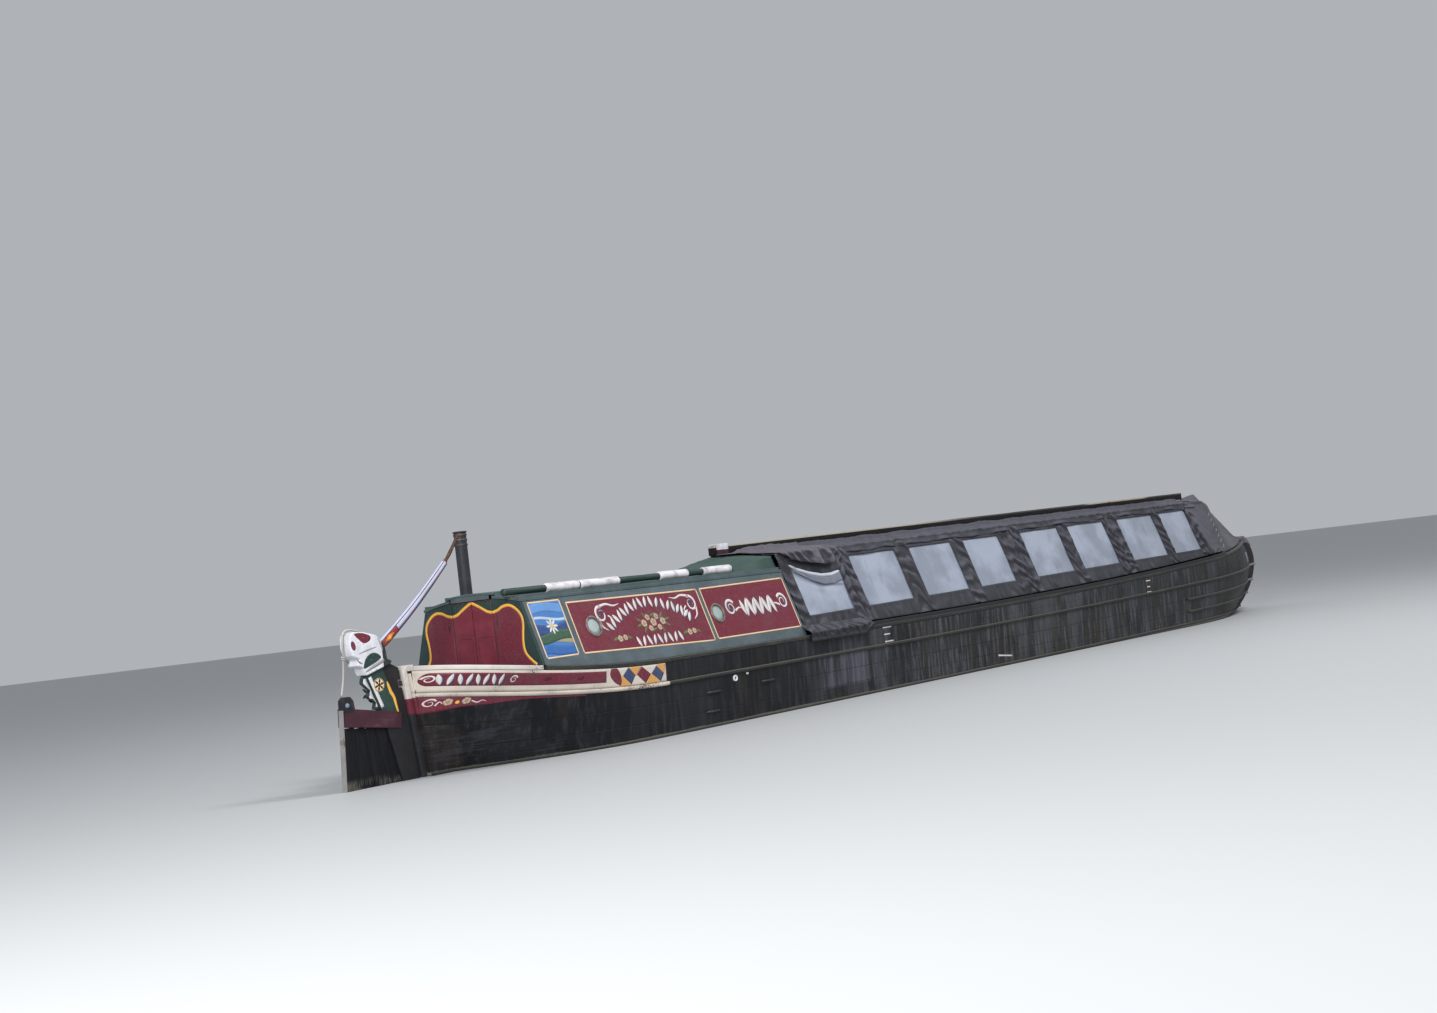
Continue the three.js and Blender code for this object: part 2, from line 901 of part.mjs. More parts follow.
const tiltLengths = span(cabinFront + 40, holdFront - 30, 16);
for (const [hand, side] of sides) {
  const wall = leaningWall(tiltLengths, tiltFoot, eave, tiltThick, side);
  const openings = windows.map(({ x, width }) => {
    const reach = [x, x + width];
    const face = (y) =>
      [windowLow, windowHigh].map((height) => reach.map((at) => [at, side * y, height(at)]));
    return plate(face(300), face(1300));
  });
  add(`tilt_side_${hand}`, cut(wall, ...openings), paint(tiltGrey, 0.85));

  const first = windows[0].x - 40;
  const last = windows.at(-1).x + windows.at(-1).width + 40;
  const paneLengths = span(first, last, 14);
  const pane = (inset) =>
    [(x) => windowLow(x) - 30, (x) => windowHigh(x) + 20].map((height) =>
      paneLengths.map((x) => [
        x,
        side * (cabinHalf(height(x)) - tiltThick - inset),
        height(x),
      ]),
    );
  add(`window_sheet_${hand}`, plate(pane(2), pane(6)), clearSheet);
}

function tiltTopFace(lift) {
  return tiltLengths.map((x) =>
    [-1, -0.1, 0.1, 1].map((share) => {
      const y = share * (eaveHalf(x) + 2);
      const rise = Math.abs(share) === 1 ? 0 : ridgeOverEave;
      return [x, y, eave(x) + 2 + rise + lift];
    }),
  );
}
add("tilt_top", plate(tiltTopFace(0), tiltTopFace(tiltThick - 2)), paint(tiltGrey, 0.85));

// Cover over the fore end: two slopes from a falling ridge line down to the deck's edge.
const coverAft = holdFront - 10;
const coverFore = 21000;
const coverPeak = 19450; // the ridge line is level to here, then falls to the deck
const coverThick = 10;
const coverStep = beamFront + 6; // aft of here the cover passes under the beam
function coverRidge(x) {
  if (x <= coverStep) return ridge(beamFront) + 2;
  const share = clamp01((x - coverPeak) / (coverFore - coverPeak));
  return mix(beamLow(beamFront) + beamDepth - 35, gunwaleTop(coverFore) + 120, share);
}
function coverHeight(x, share) {
  const slope = mix(coverRidge(x), gunwaleTop(x) + 14, Math.abs(share));
  return Math.max(slope, deckHeight(x, share) + coverThick + 8);
}
function coverFace(drop) {
  const lengths = [coverAft, coverStep, coverStep + 110, ...span(coverPeak, coverFore, 8)];
  return lengths.map((x) => {
    const foot = gunwaleInner(x) + 55;
    return span(-1, 1, 8).map((share) => [
      x,
      foot * share,
      coverHeight(x, share) - drop,
    ]);
  });
}
add("fore_cover", plate(coverFace(0), coverFace(coverThick)), paint(tiltGrey, 0.85));

// Green cloth from the ridge beam down over the cabin roof's fore end.
const clothAft = 4650;
const clothFore = cabinFront + 36;
function clothFace(lift) {
  return span(clothAft, clothFore, 6).map((x) => {
    const peak = mix(
      roofTop(0) + 6,
      beamLow(beamAft) - 12,
      clamp01((x - clothAft) / (beamAft - 40 - clothAft)),
    );
    return span(-1, 1, 8).map((share) => {
      const y = share * (roofHalf - 225);
      return [x, y, Math.max(roofTop(y) + 4, mix(peak, roofTop(y) + 4, Math.abs(share))) + lift];
    });
  });
}
add(
  "green_cloth",
  cut(
    plate(clothFace(0), clothFace(6)),
    box(beamAft + 55, blockFore + 5, -beamHalf - 35, beamHalf + 35, 1900, 2400),
  ),
  paint(deepGreen, 0.85),
);

// Rudder

const hingeBack = 58; // from the sternpost's aft face back to the hinge line
const hinge = (z) => postAft(z) - hingeBack;
const stockHalf = 45;
const stockFore = 20; // in front of the hinge line
const stockFoot = 95;
const stockHigh = 1430;
// The sloping seat of the head on the stock's top.
const seat = (x) => 1484 + 0.269 * (x + 150);
const stockOutline = (grow) => [
  [hinge(stockFoot) + stockFore + grow, stockFoot],
  [hinge(stockHigh) + stockFore + grow, stockHigh],
  [-150 + grow, seat(-150)],
  [-470 - grow, seat(-470)],
  [-306 - grow, 1000],
  [-87 - grow, stockFoot],
];
const notchLow = 1228;
const notchHigh = 1308;
const pinRadius = 13;
const alongHinge = (geometry, z) =>
  geometry.rotateY(-Math.atan(rake)).translate(hinge(z), 0, z);
const disc = (radius, high) =>
  new THREE.CylinderGeometry(radius, radius, high, 20).rotateX(Math.PI / 2);
const eyeZ = (notchLow + notchHigh) / 2;
// Carved fin on the stock's aft side, as [x, z].
const fin = [
  [-290, 1030],
  [-392, 1052],
  [-372, 1120],
  [-462, 1176],
  [-432, 1244],
  [-516, 1322],
  [-500, 1380],
  [-430, 1384],
];
add(
  "rudder_stock",
  join(
    cut(
      extrude("y", stockOutline(0), -stockHalf, stockHalf),
      box(hinge(notchLow) - 36, hinge(notchLow) + 100, -100, 100, notchLow, notchHigh),
    ),
    extrude("y", fin, -22, 22),
    alongHinge(disc(pinRadius, notchHigh - notchLow + 20), eyeZ),
    alongHinge(disc(pinRadius, 30), stockFoot - 10),
  ),
  paint(deepGreen),
);

// Tail board between the stock and the aft edge, under the top plank.
const bladeAft = (z) => -rudderReach + 8 + 0.075 * clamp01((z - draught) / 800) * 800;
const plankLow = (x) => mix(829, 924, clamp01((-90 - x) / 740));
const bladeHalf = 32;
const bladeFore = (z) => mix(-306, -87, (1000 - z) / 905) - 6;
add(
  "rudder_blade",
  extrude(
    "y",
    [
      [bladeFore(110), 110],
      [bladeFore(840), 840],
      [bladeAft(900), 915],
      [bladeAft(200), 200],
      [bladeAft(110) + 60, 110],
    ],
    -bladeHalf,
    bladeHalf,
  ),
  hullBlack,
);

const topPlankHalf = 60;

// The plank across the stock, with a block on its aft end that takes the rope.
add(
  "rudder_top_plank",
  join(
    cut(
      extrude(
        "y",
        [
          [-96, 829],
          [-72, 987],
          [bladeAft(1100) + 4, 1106],
          [bladeAft(930) + 4, 926],
        ],
        -topPlankHalf,
        topPlankHalf,
      ),
      extrude("y", stockOutline(1), -stockHalf - 1, stockHalf + 1),
    ),
    extrude(
      "y",
      [
        [-652, 1070],
        [-664, 1170],
        [-700, 1212],
        [-758, 1216],
        [-795, 1182],
        [-798, 1090],
      ],
      -40,
      40,
    ),
  ),
  paint(maroon),
);

const edgeHeights = span(120, 1090, 6);
add(
  "rudder_edge_iron",
  extrude(
    "y",
    [
      ...edgeHeights.map((z) => [bladeAft(z) - 2, z]),
      ...edgeHeights.toReversed().map((z) => [bladeAft(z) - 8, z]),
    ],
    -34,
    34,
  ),
  iron,
);

// The ram's head on top of the stock, with the tiller's mortise.
const headHalf = 80;
const headOutline = [
  [-148, seat(-148) + 1],
  [-145, 1515],
  [-200, 1535],
  [-205, 1610],
  [-215, 1655],
  [-240, 1710],
  [-318, 1785],
  [-475, 1826],
  [-613, 1840],
  [-655, 1800],
  [-665, 1690],
  [-640, 1600],
  [-560, 1562],
  [-598, 1502],
  [-525, 1474],
  [-490, seat(-490) + 1],
];
const tillerTilt = Math.atan2(792, 1024); // up and forward, as it is stowed
const tillerRoot = [-227, 0, 1658];
function tillerSection(distance, half, rise = 0) {
  const [x, , z] = tillerRoot;
  const along = [Math.cos(tillerTilt), Math.sin(tillerTilt)];
  return [-1, 1].map((up) =>
    [-1, 1].map((across) => [
      x + along[0] * distance - (up * half + rise) * along[1],
      across * half,
      z + along[1] * distance + (up * half + rise) * along[0],
    ]),
  );
}
// A tapered square bar through sections, each two rows of two corners.
function squareBar(sections) {
  const face = (row) => [sections.map((s) => s[row][0]), sections.map((s) => s[row][1])];
  return plate(face(0), face(1));
}
// Distance along from the root, half the section and how far it rises above the straight line.
const tiller = [
  { distance: -40, half: 33, rise: 0 },
  { distance: 120, half: 39, rise: 0 },
  { distance: 1290, half: 27, rise: 0 },
  { distance: 1310, half: 19, rise: 0 },
  { distance: 1500, half: 17, rise: 12 },
  { distance: 1655, half: 15, rise: 62 },
];
add(
  "rams_head",
  cut(
    extrude("y", headOutline, -headHalf, headHalf),
    squareBar([tillerSection(-48, 38), tillerSection(500, 54)]),
  ),
  paint(white),
);
add(
  "tiller",
  squareBar(tiller.map(({ distance, half, rise }) => tillerSection(distance, half, rise))),
  paint(white),
);

// Rope from the head's crown down to the block on the plank's aft end.
add(
  "head_rope",
  tube(
    [
      [-480, 0, 1842],
      [-600, 0, 1862],
      [-668, 0, 1838],
      [-690, 0, 1740],
      [-700, 0, 1600],
      [-728, 0, 1400],
      [-772, 0, 1232],
    ],
    10,
    8,
    28,
  ),
  paint(white, 0.9),
);

// Hinge irons: the heel bearing under the stock, and an eye with its pin near the top
const eyeHeight = 16;
const heelZ = 60;
add(
  "heel_bearing",
  cut(
    join(
      box(hinge(heelZ) - 40, postAft(heelZ) - 14, -30, 30, heelZ, heelZ + 24),
      extrude(
        "y",
        [10, heelZ + 24].flatMap((z, i) =>
          (i ? [4, 15] : [15, 4]).map((back) => [postAft(z) - back, z]),
        ),
        -30,
        30,
      ),
    ),
    alongHinge(disc(pinRadius + 3, 200), heelZ),
  ),
  iron,
);
add(
  "upper_gudgeon",
  cut(
    join(
      box(hinge(eyeZ) - 2, postAft(eyeZ + 30) - 3, -25, 25, eyeZ - eyeHeight / 2, eyeZ + eyeHeight / 2),
      disc(25, eyeHeight).translate(hinge(eyeZ), 0, eyeZ),
      box(postAft(eyeZ + 30) - 7, postAft(eyeZ + 30) - 2, -25, 25, eyeZ - 20, eyeZ + 20),
    ),
    alongHinge(disc(pinRadius + 3, 200), eyeZ),
  ),
  iron,
);

export default boat;
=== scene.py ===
# Narrowboat: finishes, cloths and paintwork around the fixed frame of the boat.
import math

import bmesh
import bpy
import numpy as np
from mathutils import Matrix, Vector


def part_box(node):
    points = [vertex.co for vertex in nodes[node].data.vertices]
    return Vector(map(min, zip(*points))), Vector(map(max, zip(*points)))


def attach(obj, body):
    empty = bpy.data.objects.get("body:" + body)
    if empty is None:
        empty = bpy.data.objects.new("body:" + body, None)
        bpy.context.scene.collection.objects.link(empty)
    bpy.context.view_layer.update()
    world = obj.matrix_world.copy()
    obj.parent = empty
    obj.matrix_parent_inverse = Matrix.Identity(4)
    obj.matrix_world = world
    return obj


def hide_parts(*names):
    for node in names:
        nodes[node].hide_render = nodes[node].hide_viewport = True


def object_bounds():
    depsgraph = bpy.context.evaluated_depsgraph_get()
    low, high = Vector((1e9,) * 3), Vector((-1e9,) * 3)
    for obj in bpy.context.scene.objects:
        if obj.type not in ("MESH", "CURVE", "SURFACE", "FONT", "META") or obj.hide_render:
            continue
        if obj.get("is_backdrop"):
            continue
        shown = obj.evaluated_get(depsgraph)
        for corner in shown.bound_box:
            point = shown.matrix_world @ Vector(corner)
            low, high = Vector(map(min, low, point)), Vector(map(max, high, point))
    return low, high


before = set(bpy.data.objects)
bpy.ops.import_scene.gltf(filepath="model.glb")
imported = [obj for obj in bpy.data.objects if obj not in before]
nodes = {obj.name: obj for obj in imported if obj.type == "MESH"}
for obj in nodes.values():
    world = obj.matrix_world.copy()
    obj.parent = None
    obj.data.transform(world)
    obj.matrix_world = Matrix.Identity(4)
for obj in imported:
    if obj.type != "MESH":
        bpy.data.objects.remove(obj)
cadLow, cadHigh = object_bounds()
print("frame loaded:", len(nodes), "nodes")

# Small sums


def clamp01(t):
    return np.clip(t, 0, 1)


def mix(a, b, share):
    return a + (b - a) * share


def smooth(low, high, value):  # 0 below low, 1 above high, an S between
    t = clamp01((value - low) / (high - low))
    return t * t * (3 - 2 * t)


def ripple(seed, *coordinates, octaves=3):  # soft folds: a few seeded sine waves, each about 1 high
    random = np.random.default_rng(seed)
    total = 0
    for octave in range(octaves):
        for _ in range(4):
            phase = random.uniform(0, 2 * math.pi)
            turn = random.normal(size=len(coordinates)) * 1.7**octave
            place = sum(c * k for c, k in zip(coordinates, turn))
            total = total + np.sin(place * 2 * math.pi + phase) / (2.2 * 1.7**octave)
    return total


def colour(screen, share=1.0):  # a screen colour, 0 to 255, as light, or a share of that light
    c = np.array(screen) / 255
    return tuple(share * float(v) for v in np.where(c < 0.04, c / 12.92, ((c + 0.055) / 1.055) ** 2.4)) + (1,)


def between(lines, v):  # a value on or between stacked lines, at a whole or broken number of them
    low = np.clip(np.floor(v).astype(int), 0, len(lines) - 2)
    first, second = (np.take_along_axis(lines, low[None] + k, 0)[0] for k in (0, 1))
    return mix(first, second, v - low)


def wave(turns):
    return np.sin(2 * math.pi * turns)


def hump(away, wide):  # 1 at 0, falling away softly on both sides
    return np.exp(-((away / wide) ** 2))


def column(count):
    return np.linspace(0, 1, count)[:, None]


def fullTurn(count):
    return np.linspace(0, 2 * math.pi, count + 1)[:-1]


def lattice(first, second):  # all pairs from two rows, each given as values or as start, end and count
    rows = [np.linspace(*row) if isinstance(row, tuple) else row for row in (first, second)]
    return np.meshgrid(*rows, indexing="ij")


def places(x, y, z):
    return np.stack(np.broadcast_arrays(x, y, z), -1)


def unit(vectors):
    return vectors / np.linalg.norm(vectors, axis=1, keepdims=True)


# Hull lines, in metres from the sternpost, +z up from the flat bottom

hull = {
    "draught": 0.3,
    "sideHeight": 1.1,
    "halfBeam": 1.045,
    "halfBottom": 1.0,
    "plank": 0.05,
    "bottom": 0.075,
    "postHalf": 0.055,
    "postDepth": 0.06,
    "postTop": 1.44,
    "rake": 0.1116,
    "nose": 21.6,
    "stemBend": 1.25,
    "stemHead": 1.45,
    "lean": (1.2, 1.54),  # heights between which the planks lean aft at the stem
    "gunwale": 0.05,
    "guardHigh": 0.044,
    "bowJoint": 16.4,
    # run, and the two powers of 1 - (1 - t)^a, to the power b, at bottom, waterline and gunwale
    "sternFill": ((3.6, 3.5, 2.6), (3.3, 3.5, 1.9), (3.0, 4, 0.5)),
    "bowFill": ((4.4, 2.4, 1.5), (4.2, 2.4, 1.1), (4.0, 1.45, 0.95)),
}
draught = hull["draught"]


def plankAft(z):
    return 0.18 - hull["rake"] * (z - draught)


def postAft(z):
    return plankAft(z) - hull["postDepth"]


def stemFace(z):  # upright at deck level, a sweep aft to the bottom and a rounded head
    sweep = 2 * clamp01((hull["stemBend"] - z) / hull["stemBend"]) ** 2
    return hull["nose"] - sweep - 6 * np.maximum(0, z - hull["stemHead"]) ** 2


def plankFore(z):
    low, high = hull["lean"]
    return stemFace(z) - 0.04 - 1.6 * (np.clip(z, low, high) - low) ** 2


def sternShare(x):
    return clamp01(1 - x / 3) ** 1.9


def bowShare(x):
    return clamp01((x - 6) / 15.6)


def sheer(x):  # top of the side planks
    return hull["sideHeight"] + 0.29 * sternShare(x) + 0.45 * bowShare(x) ** 2.6


def upperGuard(x):
    return 0.875 + 0.27 * sternShare(x) + 0.24 * bowShare(x) ** 2


def lowerGuard(x):
    return draught + 0.012 + 0.09 * bowShare(x) ** 2


def gunwaleTop(x):
    return sheer(x) + hull["gunwale"]


def fullness(lines, distance, z, top):  # how full the hull is, 0 at a post and 1 amidships
    low, water, high = [(1 - (1 - clamp01(distance / run)) ** a) ** b for run, a, b in lines]
    share = np.where(z < draught, z / draught, (z - draught) / (top - draught))
    return np.where(z < draught, mix(low, water, share), mix(water, high, share))


def halfBreadth(x, z):
    top = sheer(x)
    stern = fullness(hull["sternFill"], x - plankAft(z), z, top)
    bow = fullness(hull["bowFill"], plankFore(z) - x, z, top)
    full = mix(hull["halfBottom"], hull["halfBeam"], clamp01(z / hull["sideHeight"]))
    return np.maximum(hull["postHalf"] + hull["plank"], full * np.minimum(stern, bow))


def offHull(x, z, out, side=1):  # a point off the planks, out along their normal in plan
    x, z, out = np.broadcast_arrays(np.asarray(x, float), z, out)
    step = 0.005
    slope = (halfBreadth(x + step, z) - halfBreadth(x - step, z)) / (2 * step)
    length = np.hypot(1, slope)
    y = np.maximum(hull["postHalf"] + 0.0005, halfBreadth(x, z) + out / length)
    return places(x - out * slope / length, side * y, z)


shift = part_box("sternpost")[0].x - postAft(hull["postTop"])  # from the sternpost to the frame

# Cabin lines

cabin = {
    "aft": 1.11,
    "fore": 5.66,
    "foot": 0.987,
    "lean": 0.345,
    "roofEdge": 1.982,
    "roofHalf": 0.703,
    "camber": 0.078,
}


def cabinHalf(z):
    return cabin["foot"] - cabin["lean"] * (z - 1.16)


def onCabin(x, z, out, side=-1):  # a point on the leaning side, out along its normal
    x, z = np.broadcast_arrays(np.asarray(x, float), z)
    length = math.hypot(1, cabin["lean"])
    y = cabinHalf(z) + out / length
    return places(x, side * y, z + out * cabin["lean"] / length)


def roofTop(y):
    return cabin["roofEdge"] + cabin["camber"] * (1 - (y / cabin["roofHalf"]) ** 2)


# Meshes


def gridFaces(rows, columns, start=0, wrapRows=False, wrapColumns=False):
    i = np.arange(rows if wrapRows else rows - 1)[:, None]
    j = np.arange(columns if wrapColumns else columns - 1)[None, :]
    here = start + i * columns + j
    right = start + i * columns + (j + 1) % columns
    below = (i + 1) % rows * columns + start
    return np.stack([here, right, below + (j + 1) % columns, below + j], -1).reshape(-1, 4)


def turnedOut(points, faces):  # faces of a closed form point outwards: its volume comes out positive
    a, b, c = (points[faces[:, k]] for k in range(3))
    volume = np.einsum("ij,ij->i", a, np.cross(b, c)).sum()
    if faces.shape[1] == 4:
        d = points[faces[:, 3]]
        volume += np.einsum("ij,ij->i", a, np.cross(c, d)).sum()
    return faces[:, ::-1] if volume < 0 else faces


def rounded(inner, outer, low, high, radius):  # a rectangle with rounded corners, across and up
    corner = np.repeat(np.arange(4), 3)
    angle = corner * math.pi / 2 + np.tile(np.linspace(0, math.pi / 2, 3), 4)
    across = np.where((corner == 0) | (corner == 3), outer - radius, inner + radius) + radius * np.cos(angle)
    return across, np.where(corner < 2, high - radius, low + radius) + radius * np.sin(angle)


def closedForm(grid, around=True):  # rings closed on themselves, and round their profile too
    points = grid.reshape(-1, 3)
    return points, turnedOut(points, gridFaces(*grid.shape[:2], wrapRows=True, wrapColumns=around))


def sweptRing(path, radius, count=16, first=(0, 1, 0)):
    # rings round a path; the radius may be a rule for the length along it and the angle
    heading = unit(np.gradient(path, axis=0))
    across = unit(np.cross(heading, first))
    other = np.cross(heading, across)
    along = np.concatenate([[0], np.cumsum(np.linalg.norm(np.diff(path, axis=0), axis=1))])[:, None]
    angle = fullTurn(count)[None]
    r = np.broadcast_to(radius(along, angle) if callable(radius) else radius, (len(path), count))[..., None]
    cos, sin = np.cos(angle)[..., None], np.sin(angle)[..., None]
    return path[:, None] + r * (across[:, None] * cos + other[:, None] * sin)


def shell(outer, inner):  # a plate between two grids of points, closed along its rim
    rows, columns = outer.shape[:2]
    points = np.concatenate([outer.reshape(-1, 3), inner.reshape(-1, 3)])
    back = rows * columns
    front = gridFaces(rows, columns)
    index = np.arange(back).reshape(rows, columns)
    rim = np.concatenate([index[0], index[1:, -1], index[-1, -2::-1], index[-2:0:-1, 0]])
    ahead = np.roll(rim, -1)
    edge = np.stack([rim, rim + back, ahead + back, ahead], -1)
    faces = np.concatenate([front, front[:, ::-1] + back, edge])
    return points, turnedOut(points, faces)


def loft(grid):  # rings of points joined along their length, with flat caps at both ends
    rows, columns = grid.shape[:2]
    body = gridFaces(rows, columns, wrapColumns=True)
    ends = np.stack([grid[0].mean(0), grid[-1].mean(0)])
    points = np.concatenate([grid.reshape(-1, 3), ends])
    j = np.arange(columns)
    after = (j + 1) % columns
    tip = rows * columns
    low = np.stack([after, j, np.full(columns, tip)], -1)
    last = (rows - 1) * columns
    high = np.stack([last + j, last + after, np.full(columns, tip + 1)], -1)
    triangles = np.concatenate([body[:, [0, 1, 2]], body[:, [0, 2, 3]], low, high])
    return points, turnedOut(points, triangles)


def meshObject(name, points, faces, material, body="hull", slot=None, uv=None, replaces=(), sharp=35):
    points = np.array(points, float)
    points[:, 0] += shift
    mesh = bpy.data.meshes.new(name)
    mesh.from_pydata(points.tolist(), [], [list(map(int, f)) for f in faces])
    mesh.update()
    if uv is not None:
        corner = np.empty(len(mesh.loops), int)
        mesh.loops.foreach_get("vertex_index", corner)
        layer = mesh.uv_layers.new(name="along")
        layer.data.foreach_set("uv", np.asarray(uv, float)[corner].ravel())
    return finished(name, mesh, material, body, slot, replaces, sharp)


def finished(name, mesh, material, body, slot, replaces=(), sharp=35):
    piece = bpy.data.objects.new(name, mesh)
    bpy.context.scene.collection.objects.link(piece)
    mesh.materials.clear()
    mesh.materials.append(paints.get(material, material))
    mesh.polygons.foreach_set("use_smooth", [True] * len(mesh.polygons))
    if sharp:
        mesh.set_sharp_from_angle(angle=math.radians(sharp))
    look = np.empty(3 * len(mesh.vertices))
    mesh.vertices.foreach_get("normal", look)
    # the normal's height, which the finishes read for painted highlight on upper sides and painted shade on
    # lower ones
    mesh.attributes.new(name="upward", type="FLOAT", domain="POINT").data.foreach_set("value", look[2::3])
    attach(piece, body)
    if replaces:
        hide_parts(*replaces)
    return piece


def refined(node, paint, width, slot, segments=2, body="hull"):  # a node's own shape with rounded edges
    mesh = nodes[node].data.copy()
    work = bmesh.new()
    work.from_mesh(mesh)
    bmesh.ops.remove_doubles(work, verts=work.verts, dist=1e-5)
    bmesh.ops.dissolve_limit(work, angle_limit=math.radians(0.6), verts=work.verts, edges=work.edges)
    work.to_mesh(mesh)
    work.free()
    piece = finished(node + "_finished", mesh, paint, body, slot, [node])
    bevel = piece.modifiers.new("worn edges", "BEVEL")
    bevel.width = width
    bevel.segments = segments
    bevel.limit_method = "ANGLE"
    bevel.angle_limit = math.radians(30)
    bevel.harden_normals = True


# Shader sums: an expression on values adds its Math nodes


class Value:
    def __init__(self, finish, socket):
        self.finish = finish
        self.socket = socket

    def sum(self, operation, *others):
        return self.finish.math(operation, self, *others)

    def __add__(self, other):
        return self.sum("ADD", other)

    def __sub__(self, other):
        return self.sum("SUBTRACT", other)

    def __rsub__(self, other):
        return self.finish.math("SUBTRACT", other, self)

    def __mul__(self, other):
        return self.sum("MULTIPLY", other)

    def __truediv__(self, other):
        return self.sum("DIVIDE", other)

    def __abs__(self):
        return self.sum("ABSOLUTE")

    def above(self, low, high):  # 0 below low, 1 above high
        return self.finish.node(
            "MapRange", {"interpolation_type": "SMOOTHSTEP"},
            {"Value": self, "From Min": low, "From Max": high})

    def below(self, low, high):
        return 1 - self.above(low, high)

    def within(self, low, high, soft):  # 1 between low and high, softly 0 outside
        return self.above(low - soft, low) * self.below(high, high + soft)


class Finish:
    # One material: a method adds a node with its settings and its inputs, and gives an output back.
    def __init__(self, name, **numbers):
        self.material = bpy.data.materials.new(name)
        self.material.use_nodes = True
        self.tree = self.material.node_tree
        self.shader = self.tree.nodes["Principled BSDF"]
        self.at = self.node("TexCoord", output="Object")  # the place on the boat, in the frame's metres
        self.tone = None
        for key, value in numbers.items():
            self.shader.inputs[key.replace("_", " ")].default_value = value

    def node(self, kind, settings=None, inputs=None, output=0):
        made = self.tree.nodes.new("ShaderNode" + kind)
        for key, value in (settings or {}).items():
            setattr(made, key, value)
        for key, value in (inputs or {}).items():
            self.join(made.inputs[key], value)
        return Value(self, made.outputs[output])

    def join(self, socket, value):
        if isinstance(value, Value):
            self.tree.links.new(value.socket, socket)
        else:
            socket.default_value = value

    def math(self, operation, *values):
        return self.node("Math", {"operation": operation}, dict(enumerate(values)))

    def attribute(self, name, output="Fac"):
        return self.node("Attribute", {"attribute_name": name}, output=output)

    def split(self, vector=None):
        made = self.tree.nodes.new("ShaderNodeSeparateXYZ")
        self.join(made.inputs[0], vector or self.at)
        return [Value(self, made.outputs[k]) for k in range(3)]

    def noise(self, scale, detail=3.0, rough=0.55, stretch=None):
        at = self.at
        if stretch:
            at = self.node("VectorMath", {"operation": "MULTIPLY"}, {0: at, 1: stretch})
        return self.node("TexNoise", {}, {"Vector": at, "Scale": scale, "Detail": detail, "Roughness": rough})

    def blend(self, share, first, second):  # colours, first where share is 0
        made = self.tree.nodes.new("ShaderNodeMix")
        made.data_type = "RGBA"
        self.join(made.inputs[0], share)
        for socket, paint in ((6, first), (7, second)):
            onScreen = isinstance(paint, tuple) and len(paint) == 3
            self.join(made.inputs[socket], colour(paint) if onScreen else paint)
        return Value(self, made.outputs[2])

    def coat(self, share, paint):  # a further paint over the tone so far
        self.tone = self.blend(share, self.tone, paint)

    def shades(self, patches, paint):  # a paint with duller and paler patches
        base = colour(paint)
        dull = tuple(0.81 * c + 0.01 for c in base[:3]) + (1,)
        pale = tuple(min(1.0, 1.12 * c + 0.015) for c in base[:3]) + (1,)
        return self.blend(patches.above(0.35, 0.7), dull, pale)

    def done(self, rough, height, deep):
        normal = self.node("Bump", {}, {"Height": height, "Distance": deep, "Strength": 1.0})
        for key, value in (("Base Color", self.tone), ("Roughness", rough), ("Normal", normal)):
            self.join(self.shader.inputs[key], value)
        return self.material


# Finishes


def boatPaint(name, paint, worn=(96, 88, 78), wear=0.62, gloss=0.32, streak=0.25):
    # coach paint on timber: rubbed patches, rain streaks down the height, faint brush marks
    f = Finish(name, Specular_IOR_Level=0.3)
    patches = f.noise(3.1, 6.0, 0.62, (1.0, 1.0, 1.4))
    streaks = f.noise(2.3, 4.0, stretch=(9.0, 9.0, 0.7))
    fine = f.noise(46.0, 3.0, stretch=(4.0, 4.0, 1.0))
    f.tone = f.shades(patches, paint)
    f.coat(streaks.above(0.52, 0.78) * streak, worn)
    rubbed = (patches * 0.6 + fine * 0.4).above(wear, wear + 0.05)
    f.coat(rubbed, worn)
    return f.done(patches * 0.25 + gloss - 0.08 + rubbed * 0.3, fine + rubbed * -1.5, 0.0006)


